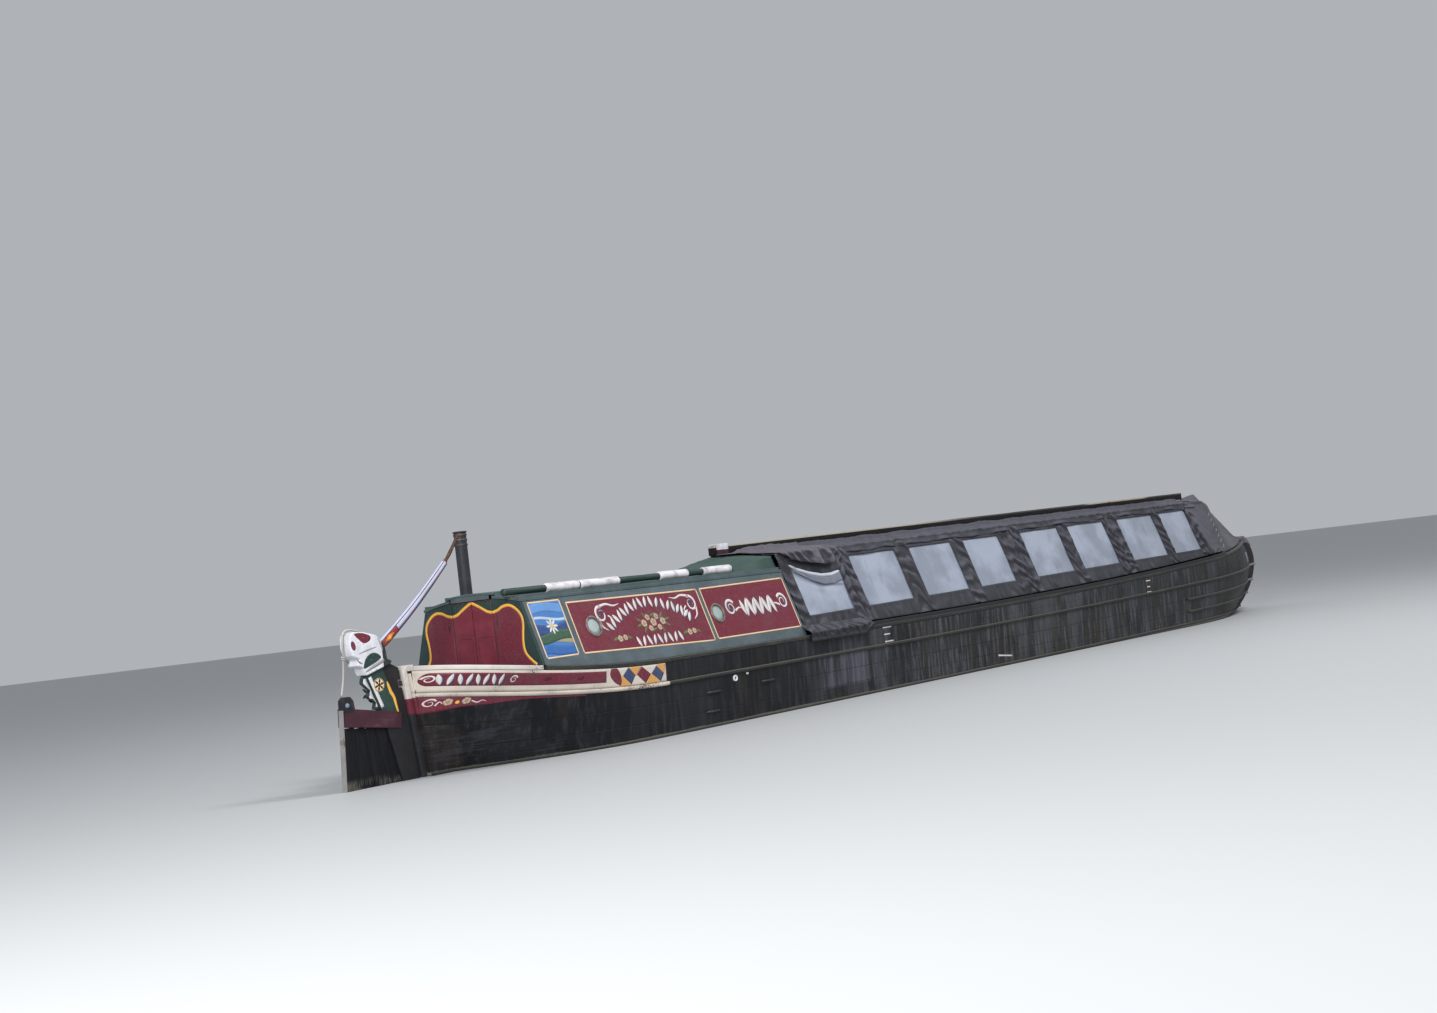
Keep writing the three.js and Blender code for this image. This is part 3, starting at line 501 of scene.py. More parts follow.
def hullPaint():
    # black over strakes: faint seams and butts, upright weathered zones, growth forward, mud at the waterline
    f = Finish("hull black", Specular_IOR_Level=0.2)
    u, v, _ = f.split(f.node("UVMap", {"uv_map": "along"}))
    _, _, z = f.split()
    patches = f.noise(1.9, 6.0, 0.62, (0.9, 0.9, 1.3))
    clouds = f.noise(0.9, 4.0, 0.6)
    zones = f.noise(1.25, 4.0, 0.6, (1.0, 1.0, 0.22))
    streaks = f.noise(1.7, 5.0, 0.62, (8.0, 8.0, 0.5))
    drips = f.noise(1.3, 6.0, 0.7, (11.0, 11.0, 1.5))
    fine = f.noise(42.0, 4.0, 0.6, (2.0, 2.0, 1.0))
    strokes = f.noise(2.6, 4.0, 0.6, (1.0, 1.0, 16.0))
    fore = u.above(4.0, 9.5) * u.below(15.5, 19.5)
    f.tone = f.blend(fore, (19, 20, 24), (42, 43, 47))
    f.coat(patches.above(0.42, 0.72) * 0.6, (15, 16, 18))
    f.coat(zones.below(0.38, 0.47) * 0.6, (44, 38, 34))
    f.coat(zones.above(0.52, 0.6) * (fore * 0.45 + 0.08), (82, 81, 90))
    f.coat(streaks.above(0.5, 0.68) * (fore * 0.5 + 0.12), (92, 93, 98))
    f.coat(drips.above(0.52, 0.64) * (fore * 0.4 + 0.08), (96, 96, 102))
    f.coat(drips.below(0.36, 0.47) * (fore * 0.45 + 0.1), (20, 21, 22))
    olive = (clouds * 0.6 + streaks * 0.4).above(0.46, 0.6) * u.above(6.5, 10.5) * 0.4
    f.coat(olive * drips.below(0.42, 0.6), (60, 64, 46))
    patch = u.within(5.86, 6.86, 0.1) * v.within(3.1, 4.94, 0.3)
    f.coat(patch * streaks.above(0.3, 0.6) * 0.5, (104, 108, 118))
    scuffs = (strokes * 0.4 + patches * 0.6).above(0.52, 0.6) * u.below(0.9, 2.2) * v.below(4.4, 5.0)
    f.coat(scuffs * 0.18, (86, 88, 100))
    lichen = (fine * 0.5 + drips * 0.5).above(0.6, 0.66) * u.above(8.0, 13.0) * 0.4
    f.coat(lichen, (122, 122, 112))
    seam = 0
    for level, share in ((3, 1.0), (4, 1.0), (5.5, 0.4), (2.4, 0.5)):
        seam = abs(v - level).below(0.012, 0.045) * share + seam
    lane = v.sum("FLOOR")
    butt = (u / 3.4 + lane * 0.37).sum("FRACT")
    seam = seam + abs(butt - 0.5).below(0.0008, 0.0024) * 0.6
    f.coat(seam * (fine * 0.4 + 0.1), (12, 12, 14))
    wet = z.below(0.31, 0.355)
    mud = (fine * 0.4 + patches * 0.4 + z.below(0.31, 0.37) * 0.5).above(0.62, 0.8) * z.below(0.33, 0.375)
    f.coat(mud * 0.8, (122, 120, 110))
    f.coat(z.below(0.302, 0.318) * 0.8, (38, 40, 34))
    rough = patches * 0.3 + 0.36 + olive * 0.2 - wet * 0.12
    return f.done(rough, fine * 0.5 + strokes * 0.7 + drips * 0.6 - seam * 1.6, 0.002)


def edgePaint(name, paint, under, reach, over=0.9, rust=0.0):
    # the iron and timber edges: white as far forward as it reaches, then dark, with a paler upper side that
    # is partly painted highlight and partly dusty
    f = Finish(name, Specular_IOR_Level=0.3)
    x, _, z = f.split()
    fine = f.noise(34.0, 4.0, 0.62, (1.5, 1.5, 3.0))
    patches = f.noise(2.4, 5.0, 0.6)
    nearEnd = x.above(reach + shift - 1.1, reach + shift)
    flakes = (fine * 0.6 + patches * 0.4 + nearEnd * rust).above(0.6, 0.64)
    f.tone = f.blend(patches.above(0.4, 0.7), under, colour(under, 0.6))
    # painted highlight: paler where the surface looks up, with a dusty tint
    f.coat(f.attribute("upward").above(0.3, 0.75) * 0.6, (92, 90, 80))
    f.coat((fine * 0.5 + patches * 0.5).above(0.46, 0.62) * 0.4, (88, 88, 72))
    lilac = x.above(20.6 + shift, 21.2 + shift) * (patches * 0.6 + fine * 0.4).above(0.43, 0.5)
    f.coat(lilac * 0.8, (142, 134, 152))
    band = x.below(reach + shift - 0.01, reach + shift) * z.above(over - 0.02, over)
    white = f.blend(patches.above(0.35, 0.7), paint, colour(paint, 0.72))
    f.coat(band * (1 - flakes), white)
    f.coat(band * flakes * 0.7, (120, 86, 66))
    return f.done(fine * 0.3 + 0.4, fine + band * (1 - flakes), 0.0012)


def signPaint(name, chips=0.68):
    # signwriter's colours from the pieces' own paint attribute, dulled in patches and chipped
    f = Finish(name, Specular_IOR_Level=0.3)
    f.tone = f.attribute("paint", "Color")
    patches = f.noise(4.2, 5.0, 0.6)
    fine = f.noise(60.0, 4.0, 0.6, (1.0, 1.0, 1.6))
    f.coat(patches.above(0.42, 0.75) * 0.22, (88, 84, 84))
    f.coat(fine.above(0.5, 0.8) * 0.14, (226, 214, 200))
    chip = (patches * 0.45 + fine * 0.55).above(chips, chips + 0.03)
    f.coat(chip, (84, 60, 46))
    return f.done(patches * 0.2 + 0.34 + chip * 0.2, fine - chip * 2, 0.0005)


def clothFinish(name, cloth, dust_and_highlight, rough=0.8, stain=0.35, fore=None):
    # waxed cotton: painted highlight where it looks up or stands out, painted shade where it looks down and
    # in its creases, dusty specks, rain marks down the slope
    f = Finish(name, Sheen_Weight=0.05, Specular_IOR_Level=0.25)
    up, fold = f.attribute("upward"), f.attribute("fold")
    clouds = f.noise(1.3, 5.0, 0.6)
    marks = f.noise(1.9, 5.0, 0.6, (7.0, 7.0, 1.2))
    weave = f.noise(260.0, 2.0, stretch=(1.0, 1.3, 1.3))
    fine = f.noise(30.0, 4.0, 0.6)
    dark = colour(cloth, 0.3)
    f.tone = f.shades(clouds, cloth)
    if fore:  # a paler cloth forward of the last gathered seam
        x, _, z = f.split()
        f.coat((x - shift + z * 0.39).above(18.53, 18.6), f.shades(clouds, fore))
    f.coat(marks.above(0.48, 0.75) * stain, dust_and_highlight)
    f.coat(fine.above(0.55, 0.8) * 0.2, dust_and_highlight)
    # painted highlight: paler on the upper sides and on the crests of the folds
    f.coat(up.above(0.34, 0.56) * 0.45, dust_and_highlight)
    f.coat(fold.above(0.05, 1.0) * 0.4, dust_and_highlight)
    # painted shade: darker on the lower sides and in the creases
    f.coat(up.below(0.08, 0.31) * 0.6, dark)
    f.coat(fold.below(-1.0, 0.1) * 0.75, dark)
    return f.done(clouds * 0.15 + rough - 0.07, weave * 0.6 + fine * 1.4, 0.0007)


def clearFinish(name, sheet, shade, crease=(110, 116, 132)):
    # clear sheet that mirrors the pale sky: pale tones in broad clouds that are partly painted sky
    # reflection, and painted shade along a few long creases
    f = Finish(name, Alpha=0.95, Coat_Weight=0.25, Coat_Roughness=0.15)
    crease_streaks = f.noise(1.6, 3.0, 0.5, (5.0, 5.0, 0.9))
    clouds = f.noise(1.7, 3.0)
    # pale tones in broad clouds: partly painted sky reflection
    f.tone = f.blend(clouds.above(0.38, 0.62), sheet, shade)
    # painted shade along long crease streaks
    f.coat(crease_streaks.above(0.62, 0.72) * 0.3, crease)
    # painted shade where the sheet turns down in a crease
    f.coat(f.attribute("upward").below(0.1, 0.24) * 0.7, crease)
    return f.done(crease_streaks * 0.2 + 0.2, crease_streaks, 0.002)


def timberFinish(name, wood, dark, along=(0.5, 9.0, 9.0)):
    # bare boards: grain along the boat, damp dark patches
    f = Finish(name)
    grain = f.noise(7.0, 6.0, 0.65, along)
    patches = f.noise(1.8, 4.0)
    f.tone = f.blend(grain.above(0.35, 0.68), wood, dark)
    f.coat(patches.above(0.5, 0.75) * 0.5, dark)
    return f.done(grain * 0.25 + 0.6, grain, 0.0018)


def plankFinish():  # old maroon, with a black block at the aft end
    f = Finish("rudder plank", Specular_IOR_Level=0.2)
    x, _, z = f.split()
    patches = f.noise(5.0, 5.0, 0.6)
    grain = f.noise(9.0, 4.0, 0.6, (1.0, 8.0, 8.0))
    blackEnd = (x - shift).below(-0.684, -0.682) * z.above(1.055, 1.06)
    f.tone = f.blend(blackEnd, f.shades(patches, (62, 24, 38)), f.shades(patches, (24, 25, 30)))
    f.coat((patches * 0.5 + grain * 0.5).above(0.54, 0.62) * 0.3, (110, 90, 94))
    return f.done(patches * 0.3 + 0.3, grain, 0.0012)


def partedPaint(name, first, *others, gloss, scale=5.0, shine=0.3, chips=None, deep=0.0012):
    # the first paint everywhere, and over it each other one where its own rule of length and height says
    f = Finish(name, Specular_IOR_Level=shine)
    x, _, z = f.split()
    patches = f.noise(scale, 5.0, 0.6)
    f.tone = f.shades(patches, first)
    for where, paint in others:
        f.coat(where(x - shift, z), f.shades(patches, paint))
    if chips:
        worn = patches * 0.5 + f.noise(40.0, 4.0, 0.6) * 0.5
        f.coat(worn.above(0.57, 0.62) * 0.6, chips)
    return f.done(patches * 0.3 + gloss, patches, deep)


def brightMetal(name, metal, tarnish, rough=0.3):
    f = Finish(name, Metallic=1.0)
    patches = f.noise(30.0, 5.0, 0.65)
    f.tone = f.blend(patches.above(0.4, 0.7), metal, tarnish)
    return f.done(patches * 0.3 + rough, patches, 0.0004)


paints = {
    "hull": hullPaint(),
    "black": boatPaint("black", (36, 38, 45), worn=(84, 86, 92), gloss=0.45, streak=0.3),
    "guard": edgePaint("guards", (206, 196, 184), (44, 44, 46), 2.95, 0.75, 0.09),
    "gunwale": edgePaint("gunwales", (206, 200, 194), (38, 39, 44), 1.108, 1.0),
    "post": partedPaint(
        "sternpost paint", (32, 33, 38), (lambda x, z: z.above(0.945, 0.95), (104, 34, 52)),
        (lambda x, z: z.above(1.1, 1.105), (200, 192, 186)), gloss=0.36),
    # near-black, darker than the other black: the hold's rail carries the painted shadow under the tilt's
    # foot
    "railBlack": boatPaint("rail black", (14, 14, 16), worn=(60, 60, 56), gloss=0.5),
    "iron": boatPaint("hinge iron", (52, 52, 52), worn=(104, 70, 48), wear=0.58, gloss=0.5),
    "edgeIron": boatPaint("blade edge iron", (140, 138, 138), worn=(96, 76, 62), wear=0.56, gloss=0.45),
    "boss": boatPaint("blue grey boss", (124, 138, 160), worn=(90, 92, 98), wear=0.6, gloss=0.3),
    "timber": timberFinish("bare timber", (112, 98, 80), (62, 52, 42)),
    "deckBoards": timberFinish("mossy deck", (136, 146, 136), (84, 92, 82)),
    "darkGreen": boatPaint("dark green", (31, 54, 51), worn=(58, 80, 76), wear=0.7, gloss=0.3, streak=0.2),
    "sideGreen": boatPaint("cabin green", (78, 90, 96), worn=(108, 116, 120), wear=0.72),
    "roofGreen": boatPaint("roof green", (70, 86, 88), worn=(100, 108, 106), wear=0.66, gloss=0.42),
    "maroon": boatPaint("maroon", (116, 31, 50), worn=(140, 82, 90), wear=0.74, gloss=0.3, streak=0.12),
    "plank": plankFinish(),
    "stock": partedPaint(  # green on the aft half above the plank
        "rudder stock", (19, 18, 22),
        (lambda x, z: (x + (z - 1.031) * 0.35).below(-0.112, -0.108) * z.above(0.99, 1.0), (34, 58, 54)),
        gloss=0.28, shine=0.2),
    "head": partedPaint(
        "carved head", (214, 214, 220), (lambda x, z: x.above(-0.264, -0.26), (30, 42, 40)), gloss=0.34,
        chips=(146, 136, 128)),
    "white": boatPaint("white", (214, 214, 220), worn=(158, 146, 138), wear=0.64, gloss=0.4),
    "sign": signPaint("signwriting"),
    "oldSign": signPaint("weathered signwriting", chips=0.62),
    "tilt": clothFinish("tilt cloth", (50, 50, 58), (92, 92, 104), fore=(82, 80, 90)),
    "flap": clothFinish("grey flap cloth", (60, 58, 67), (114, 109, 119)),
    "cover": clothFinish("fore cover cloth", (82, 80, 90), (108, 102, 108), stain=0.5),
    "greenCloth": clothFinish("green cloth", (34, 60, 53), (58, 84, 78), rough=0.62),
    # grey for the sheet folded double under the first window's roll, as the painted shadow of the roll
    "fold": clothFinish("doubled sheet", (112, 115, 128), (140, 144, 158)),
    "hem": clothFinish("pale hem", (196, 200, 212), (170, 176, 190), stain=0.2),
    # the clear sheet's pale tones are partly, and the porthole glass's wholly, painted sky reflection
    "clear": clearFinish("clear sheet", (136, 143, 158), (160, 168, 184)),
    "glass": clearFinish("porthole glass", (146, 160, 160), (166, 178, 178), (112, 124, 126)),
    "bronze": brightMetal("dulled rings", (150, 134, 126), (104, 92, 88), rough=0.45),
    "dull": brightMetal("tarnished hoops", (104, 100, 96), (70, 68, 66), rough=0.5),
    "rope": clothFinish("rope cotton", (206, 202, 194), (156, 150, 140), rough=0.85),
    "wood": timberFinish("varnished handle", (92, 58, 38), (44, 28, 22), along=(2.0, 9.0, 9.0)),
}

# Hull side: one smooth skin a side, with a level for every seam and guard

skin = {"columns": 420, "rowsEach": 7, "crowding": 0.82}
skinLevels = [
    lambda x: hull["bottom"] + 0.0005 + 0 * x,
    lambda x: draught + 0 * x,
    lambda x: lowerGuard(x) + hull["guardHigh"] / 2,
    lambda x: mix(lowerGuard(x), upperGuard(x), 0.3),
    lambda x: mix(lowerGuard(x), upperGuard(x), 0.62),
    upperGuard,
    sheer,
]


def skinLevel(v, x):  # height of level v, from 0 at the bottom edge to 6 at the gunwale
    return between(np.stack([level(x) for level in skinLevels]), v)


def hullSkin(side):
    v = np.concatenate([np.linspace(k, k + 1, skin["rowsEach"], endpoint=False) for k in range(6)] + [[6.0]])
    t = np.linspace(0, 1, skin["columns"])
    t = t - skin["crowding"] * wave(t) / (2 * math.pi)
    v, t = lattice(v, t)
    z = np.full(v.shape, 0.8)
    for _ in range(9):
        x = mix(plankAft(z), plankFore(z), t)
        z = skinLevel(v, x)
    outer = offHull(x, z, 0, side)
    inner = offHull(x, z, -hull["plank"], side)
    inner[..., 2] = skinLevel(v, inner[..., 0])
    points, faces = shell(outer, inner)
    uv = np.stack([np.concatenate([x.ravel()] * 2), np.concatenate([v.ravel()] * 2)], -1)
    return points, faces, uv


sides = (("starboard", -1), ("port", 1))
for hand, side in sides:
    points, faces, uv = hullSkin(side)
    meshObject("hull_side_" + hand, points, faces, "hull", slot="hull_paint", uv=uv,
               replaces=[part + "_planking_" + hand for part in ("stern", "middle", "bow")])
print("hull sides made")

# Guards: half-round bars along the sides, and four a side that run round the stem

guard = {"half": 0.022, "out": 0.026, "inside": -0.004, "around": 8}
belly = np.linspace(-math.pi / 2, math.pi / 2, guard["around"])
guardOut = guard["inside"] + (guard["out"] - guard["inside"]) * np.cos(belly) ** 0.6
guardRise = guard["half"] * np.sin(belly)


def guardRun(level, start, end, count, side):  # rings of the bar between two lengths
    t = np.linspace(0, 1, count)
    x = mix(start, end, t)
    z = level(x)[:, None] + guardRise
    return offHull(x[:, None], z, guardOut, side)


def bowBar(level):  # along one side, round the stem on half an ellipse and back along the other
    tip = settled(level, plankFore) - 0.003
    run = guardRun(level, hull["bowJoint"] + 0.0005, tip, 150, -1)
    turn = np.linspace(-math.pi / 2, math.pi / 2, 26)[1:-1, None]
    z = float(level(tip))
    centre = float(plankFore(z))
    ahead = float(stemFace(z)) - centre
    nose = places(
        centre + (ahead + guardOut) * np.cos(turn),
        (hull["postHalf"] + hull["plank"] + guardOut) * np.sin(turn),
        z + guardRise)
    return np.concatenate([run, nose, run[::-1] * [1, -1, 1]])


def settled(level, lengthAt):  # where a level meets a raked end
    x = float(lengthAt(1.0))
    for _ in range(8):
        x = float(lengthAt(level(x)))
    return x


def merged(forms):  # several forms in one mesh
    points, faces, count = [], [], 0
    for some, corners in forms:
        points.append(np.asarray(some).reshape(-1, 3))
        faces += (np.asarray(corners) + count).tolist()
        count += len(points[-1])
    return np.concatenate(points), faces


middle = {"upper": upperGuard, "lower": lowerGuard}
for hand, side in sides:
    for name, level in middle.items():
        start = settled(level, plankAft) + 0.012
        grid = guardRun(level, start, hull["bowJoint"], 520, side)
        points, faces = loft(grid)
        meshObject("%s_guard_bar_%s" % (name, hand), points, faces, "guard", slot="guard_iron",
                   replaces=["%s_guard_%s" % (name, hand)], sharp=50)


def stemStrap():
    z = np.linspace(0.1, 1.6, 60)[:, None]
    x = stemFace(z) + 0.001 + 0.015 * np.cos(belly) ** 0.5
    y = 0.03 * np.sin(belly)
    return places(x, y, z)


bars = [loft(bowBar(level)) for level in (lowerGuard, skinLevels[3], skinLevels[4], upperGuard)]
meshObject("bow_guards", *merged(bars + [loft(stemStrap())]), "guard", slot="guard_iron",
           replaces=["bow_guard_irons"], sharp=50)

# Gunwales, the hold's rail and the stern deck


def roundedBar(x, inner, outer, low, high, radius, side=1):
    # rings of an upright bar with rounded edges between four lines along the boat
    y, z = rounded(*(np.broadcast_to(q, x.shape)[:, None] for q in (inner, outer, low, high)), radius)
    return places(x[:, None], side * y, z)


gunwale = {"wide": 0.13, "out": 0.008, "least": 0.061, "aft": 1.146, "fore": 21.31, "round": 0.01}
rail = {"aft": 7.05, "fore": 18.4, "inside": 0.03, "out": 0.005, "below": 0.02, "above": 0.045}


def gunwaleInner(x, wide=gunwale["wide"]):
    return np.maximum(gunwale["least"], halfBreadth(x, sheer(x)) - wide)


for hand, side in sides:
    t = np.linspace(0, 1, 400)
    x = mix(gunwale["aft"], gunwale["fore"], t + 0.5 * t * (1 - t) * (2 * t - 0.2))
    shelf = roundedBar(x, gunwaleInner(x), halfBreadth(x, sheer(x)) + gunwale["out"], sheer(x) + 0.002,
                       gunwaleTop(x), gunwale["round"], side)
    x = np.linspace(rail["aft"], rail["fore"], 200)
    half = halfBreadth(x, sheer(x))
    top = roundedBar(x, half - rail["inside"], half + rail["out"], gunwaleTop(x) - rail["below"],
                     gunwaleTop(x) + rail["above"], 0.008, side)
    meshObject("gunwale_%s_finished" % hand, *loft(shelf), "gunwale", slot="hull_paint",
               replaces=["gunwale_" + hand], sharp=50)
    # its near-black paint stands for the shadow under the tilt's foot
    meshObject("hold_rail_" + hand, *loft(top), "railBlack", slot="hull_paint", sharp=50)

sternDeck = {"aft": 0.06, "fore": 1.108, "wide": 0.12, "plate": (0.162, 0.42)}
t = np.linspace(0, 1, 70)
x = mix(sternDeck["aft"], sternDeck["fore"], t**1.6)
rims = [loft(roundedBar(x, gunwaleInner(x, sternDeck["wide"]), halfBreadth(x, sheer(x)) + gunwale["out"],
                        sheer(x) + 0.002, gunwaleTop(x), gunwale["round"], side)) for _, side in sides]
x = np.linspace(*sternDeck["plate"], 20)
inner = gunwaleInner(x, sternDeck["wide"]) + 0.015
rims.append(loft(roundedBar(x, -inner, inner, gunwaleTop(x) - 0.035, gunwaleTop(x) - 0.001, 0.004)))
meshObject("stern_deck_finished", *merged(rims), "gunwale", slot="hull_paint",
           replaces=["stern_deck"], sharp=50)
print("guards and gunwales made")

# Signwriting: thin coats of paint laid on a surface


def smoothPath(points, steps=10, closed=False):  # a curve through points, each stretch bent by its neighbours
    p = np.asarray(points, float)
    before, after, later = np.roll(p, 1, 0), np.roll(p, -1, 0), np.roll(p, -2, 0)
    if not closed:
        before[0] = 2 * p[0] - p[1]
        later[-2] = 2 * p[-1] - p[-2]
    count = len(p) if closed else len(p) - 1
    t = np.linspace(0, 1, steps, endpoint=False)[None, :, None]
    a, b, c, d = (q[:count, None] for q in (before, p, after, later))
    curve = 0.5 * (2 * b + (c - a) * t + (2 * a - 5 * b + 4 * c - d) * t**2 + (3 * b - a - 3 * c + d) * t**3)
    return np.vstack([curve.reshape(-1, p.shape[1]), p[:1] if closed else p[-1:]])


class Paintwork:
    # Grids in a surface's own two lengths, s and t, put onto it with each layer a little higher.
    def __init__(self, onto, *side):
        self.onto = lambda s, t, out: onto(s, t, out, *side)
        self.points, self.faces, self.tints = [], [], []
        self.count = 0

    def grid(self, s, t, tint, layer=0, holes=()):
        s, t = np.broadcast_arrays(s, t)
        faces = gridFaces(*s.shape)
        for x, z, radius in holes:
            middle = np.stack([s.ravel(), t.ravel()], -1)[faces].mean(1)
            faces = faces[np.hypot(middle[:, 0] - x, middle[:, 1] - z) > radius]
        self.points.append(self.onto(s, t, 0.0009 + 0.0006 * layer).reshape(-1, 3))
        self.faces.append(faces + self.count)
        self.tints.append(np.tile(colour(tints.get(tint, tint)), (s.size, 1)))
        self.count += s.size

    def area(self, low, high, start, end, tint, layer=0, columns=60, rows=6, holes=()):
        # between two heights that depend on the length
        s = np.linspace(start, end, columns)[:, None]
        self.grid(s, mix(low(s), high(s), np.linspace(0, 1, rows)), tint, layer, holes)

    def ribbon(self, path, width, tint, layer=0, steps=8, closed=False):
        # a stroke along a curve; width may be a list, one for each point of the path
        path = np.asarray(path, float)
        wide = np.broadcast_to(width, len(path)).astype(float)[:, None]
        curve = smoothPath(np.hstack([path, wide]), steps, closed)
        line = curve[:, :2]
        heading = np.gradient(line, axis=0)
        if closed:
            heading[0] = heading[-1] = heading[0] + heading[-1]
        heading /= np.linalg.norm(heading, axis=1, keepdims=True) + 1e-9
        across = np.stack([-heading[:, 1], heading[:, 0]], -1)
        share = np.linspace(-0.5, 0.5, 3)[None, :, None]
        stroke = line[:, None] + across[:, None] * np.maximum(curve[:, 2:], 0.0008)[:, None] * share
        self.grid(stroke[..., 0], stroke[..., 1], tint, layer)

    def disc(self, s, t, wide, high, tint, layer=0, turn=0.0, cells=9):
        # a round made from a square grid, so that it has no pole
        u, v = lattice((-1, 1, cells), (-1, 1, cells))
        a = u * np.sqrt(1 - v * v / 2) * wide / 2
        b = v * np.sqrt(1 - u * u / 2) * high / 2
        self.grid(s + a * math.cos(turn) - b * math.sin(turn), t + b * math.cos(turn) + a * math.sin(turn),
                  tint, layer)

    def leaf(self, s, t, long, wide, tint, layer=0, turn=0.0):  # pointed at both ends
        u = np.linspace(-1, 1, 9)[:, None]
        v = np.linspace(-1, 1, 3) * (1.03 - u * u) * wide / 2
        a = u * long / 2
        self.grid(s + a * math.cos(turn) - v * math.sin(turn), t + v * math.cos(turn) + a * math.sin(turn),
                  tint, layer)

    def shadedLeaf(self, s, t, long, wide, turn, layer=1, shadow=(0.01, -0.004)):  # pale over a dark shadow
        self.leaf(s + shadow[0], t + shadow[1], long, wide, "navy", layer, turn)
        self.leaf(s, t, long, wide, "pale", layer + 1, turn)

    def rose(self, s, t, size, layer=1):
        self.disc(s, t, size, 0.9 * size, "rose", layer)
        for k in range(5):
            turn = 2 * math.pi * k / 5 + 0.5
            place = s + 0.3 * size * math.cos(turn), t + 0.27 * size * math.sin(turn)
            self.disc(*place, 0.4 * size, 0.3 * size, "petal", layer + 1, turn + 1.57, cells=6)
        self.disc(s, t - 0.03 * size, 0.34 * size, 0.28 * size, "heart", layer + 2, cells=6)
        self.disc(s, t + 0.03 * size, 0.16 * size, 0.1 * size, "petal", layer + 3, cells=5)

    def scroll(self, s, t, size, tint, layer=1, turn=0.0, flip=1, turns=1.3, stroke=0.11):
        # a stroke that winds inwards and thins out
        share = np.linspace(0, 1, 16)
        angle = turn + turns * 2 * math.pi * share
        reach = size * (0.5 - 0.36 * share)
        path = np.stack([s + flip * reach * np.cos(angle), t + reach * np.sin(angle)], -1)
        self.ribbon(path, size * stroke * (1.15 - share), tint, layer, steps=4)

    def made(self, name, material, body="hull", slot=None):
        points, faces = np.concatenate(self.points), np.concatenate(self.faces)
        piece = meshObject(name, points, faces, material, body, slot, sharp=None)
        layer = piece.data.color_attributes.new(name="paint", type="FLOAT_COLOR", domain="POINT")
        layer.data.foreach_set("color", np.concatenate(self.tints).ravel())
        coat = piece.modifiers.new("coat", "SOLIDIFY")
        coat.thickness = 0.0005
        coat.offset = -1
        return piece


tints = {
    "cream": (224, 196, 156),
    "white": (212, 210, 212),
    "oldWhite": (206, 196, 184),
    "maroon": (106, 33, 51),
    "deepMaroon": (74, 22, 36),
    "gold": (236, 176, 70),
    "ochre": (206, 152, 84),
    "navy": (56, 68, 100),
    "green": (34, 58, 54),
    "leaf": (92, 104, 62),
    "sky": (62, 116, 180),
    "black": (22, 22, 25),
    "pale": (214, 206, 204),
    "orange": (206, 112, 44),
    "rose": (126, 78, 60),
    "petal": (182, 164, 146),
    "heart": (164, 124, 78),
}

# Stern band: white with a maroon stripe, a row of diamonds at its fore end and a painted strip below

band = {"fore": 2.918, "stripe": (0.092, 1.96)}


def bandLow(x):
    return upperGuard(x) + 0.024


def bandHigh(x):
    return sheer(x) - 0.001


def onBand(x, share):
    return mix(bandLow(x), bandHigh(x), share)


def fromPost(lowAt, highAt, fore, columns, rows, power=1.5):
    # lengths and shares of height that start at the sternpost's raked edge
    share = np.linspace(0, 1, rows)
    z = mix(lowAt(0.09), highAt(0.09), share)
    s = mix(plankAft(z) + 0.0015, fore, column(columns) ** power)
    return s, share


lens = {
    "share": (0.05, 0.24, 0.5, 0.7, 0.92, 1),
    "aft": (2.168, 2.084, 2.03, 2.013, 2.026, 2.039),
    "fore": (2.174, 2.19, 2.188, 2.172, 2.14, 2.119),
}
# corners as length and share of the band's height, each with its colour and its layer
sternPatches = (
    ("ochre", 1, (2.3, 1), (2.522, 1), (2.42, 0.5), (2.41, 0.5)),
    ("ochre", 1, (2.763, 1), (2.918, 1), (2.885, 0.44), (2.87, 0.44)),
    ("ochre", 1, (2.17, 0), (2.2, 0.6), (2.21, 0.6), (2.34, 0)),
    ("ochre", 1, (2.571, 0), (2.66, 0.56), (2.67, 0.56), (2.817, 0)),
    ("navy", 2, (2.212, 0.57), (2.301, 1), (2.409, 0.55), (2.339, 0.06)),
    ("maroon", 2, (2.433, 0.56), (2.521, 0.98), (2.661, 0.52), (2.571, 0.05)),
    ("navy", 2, (2.672, 0.55), (2.763, 0.94), (2.879, 0.46), (2.817, 0.04)),
)


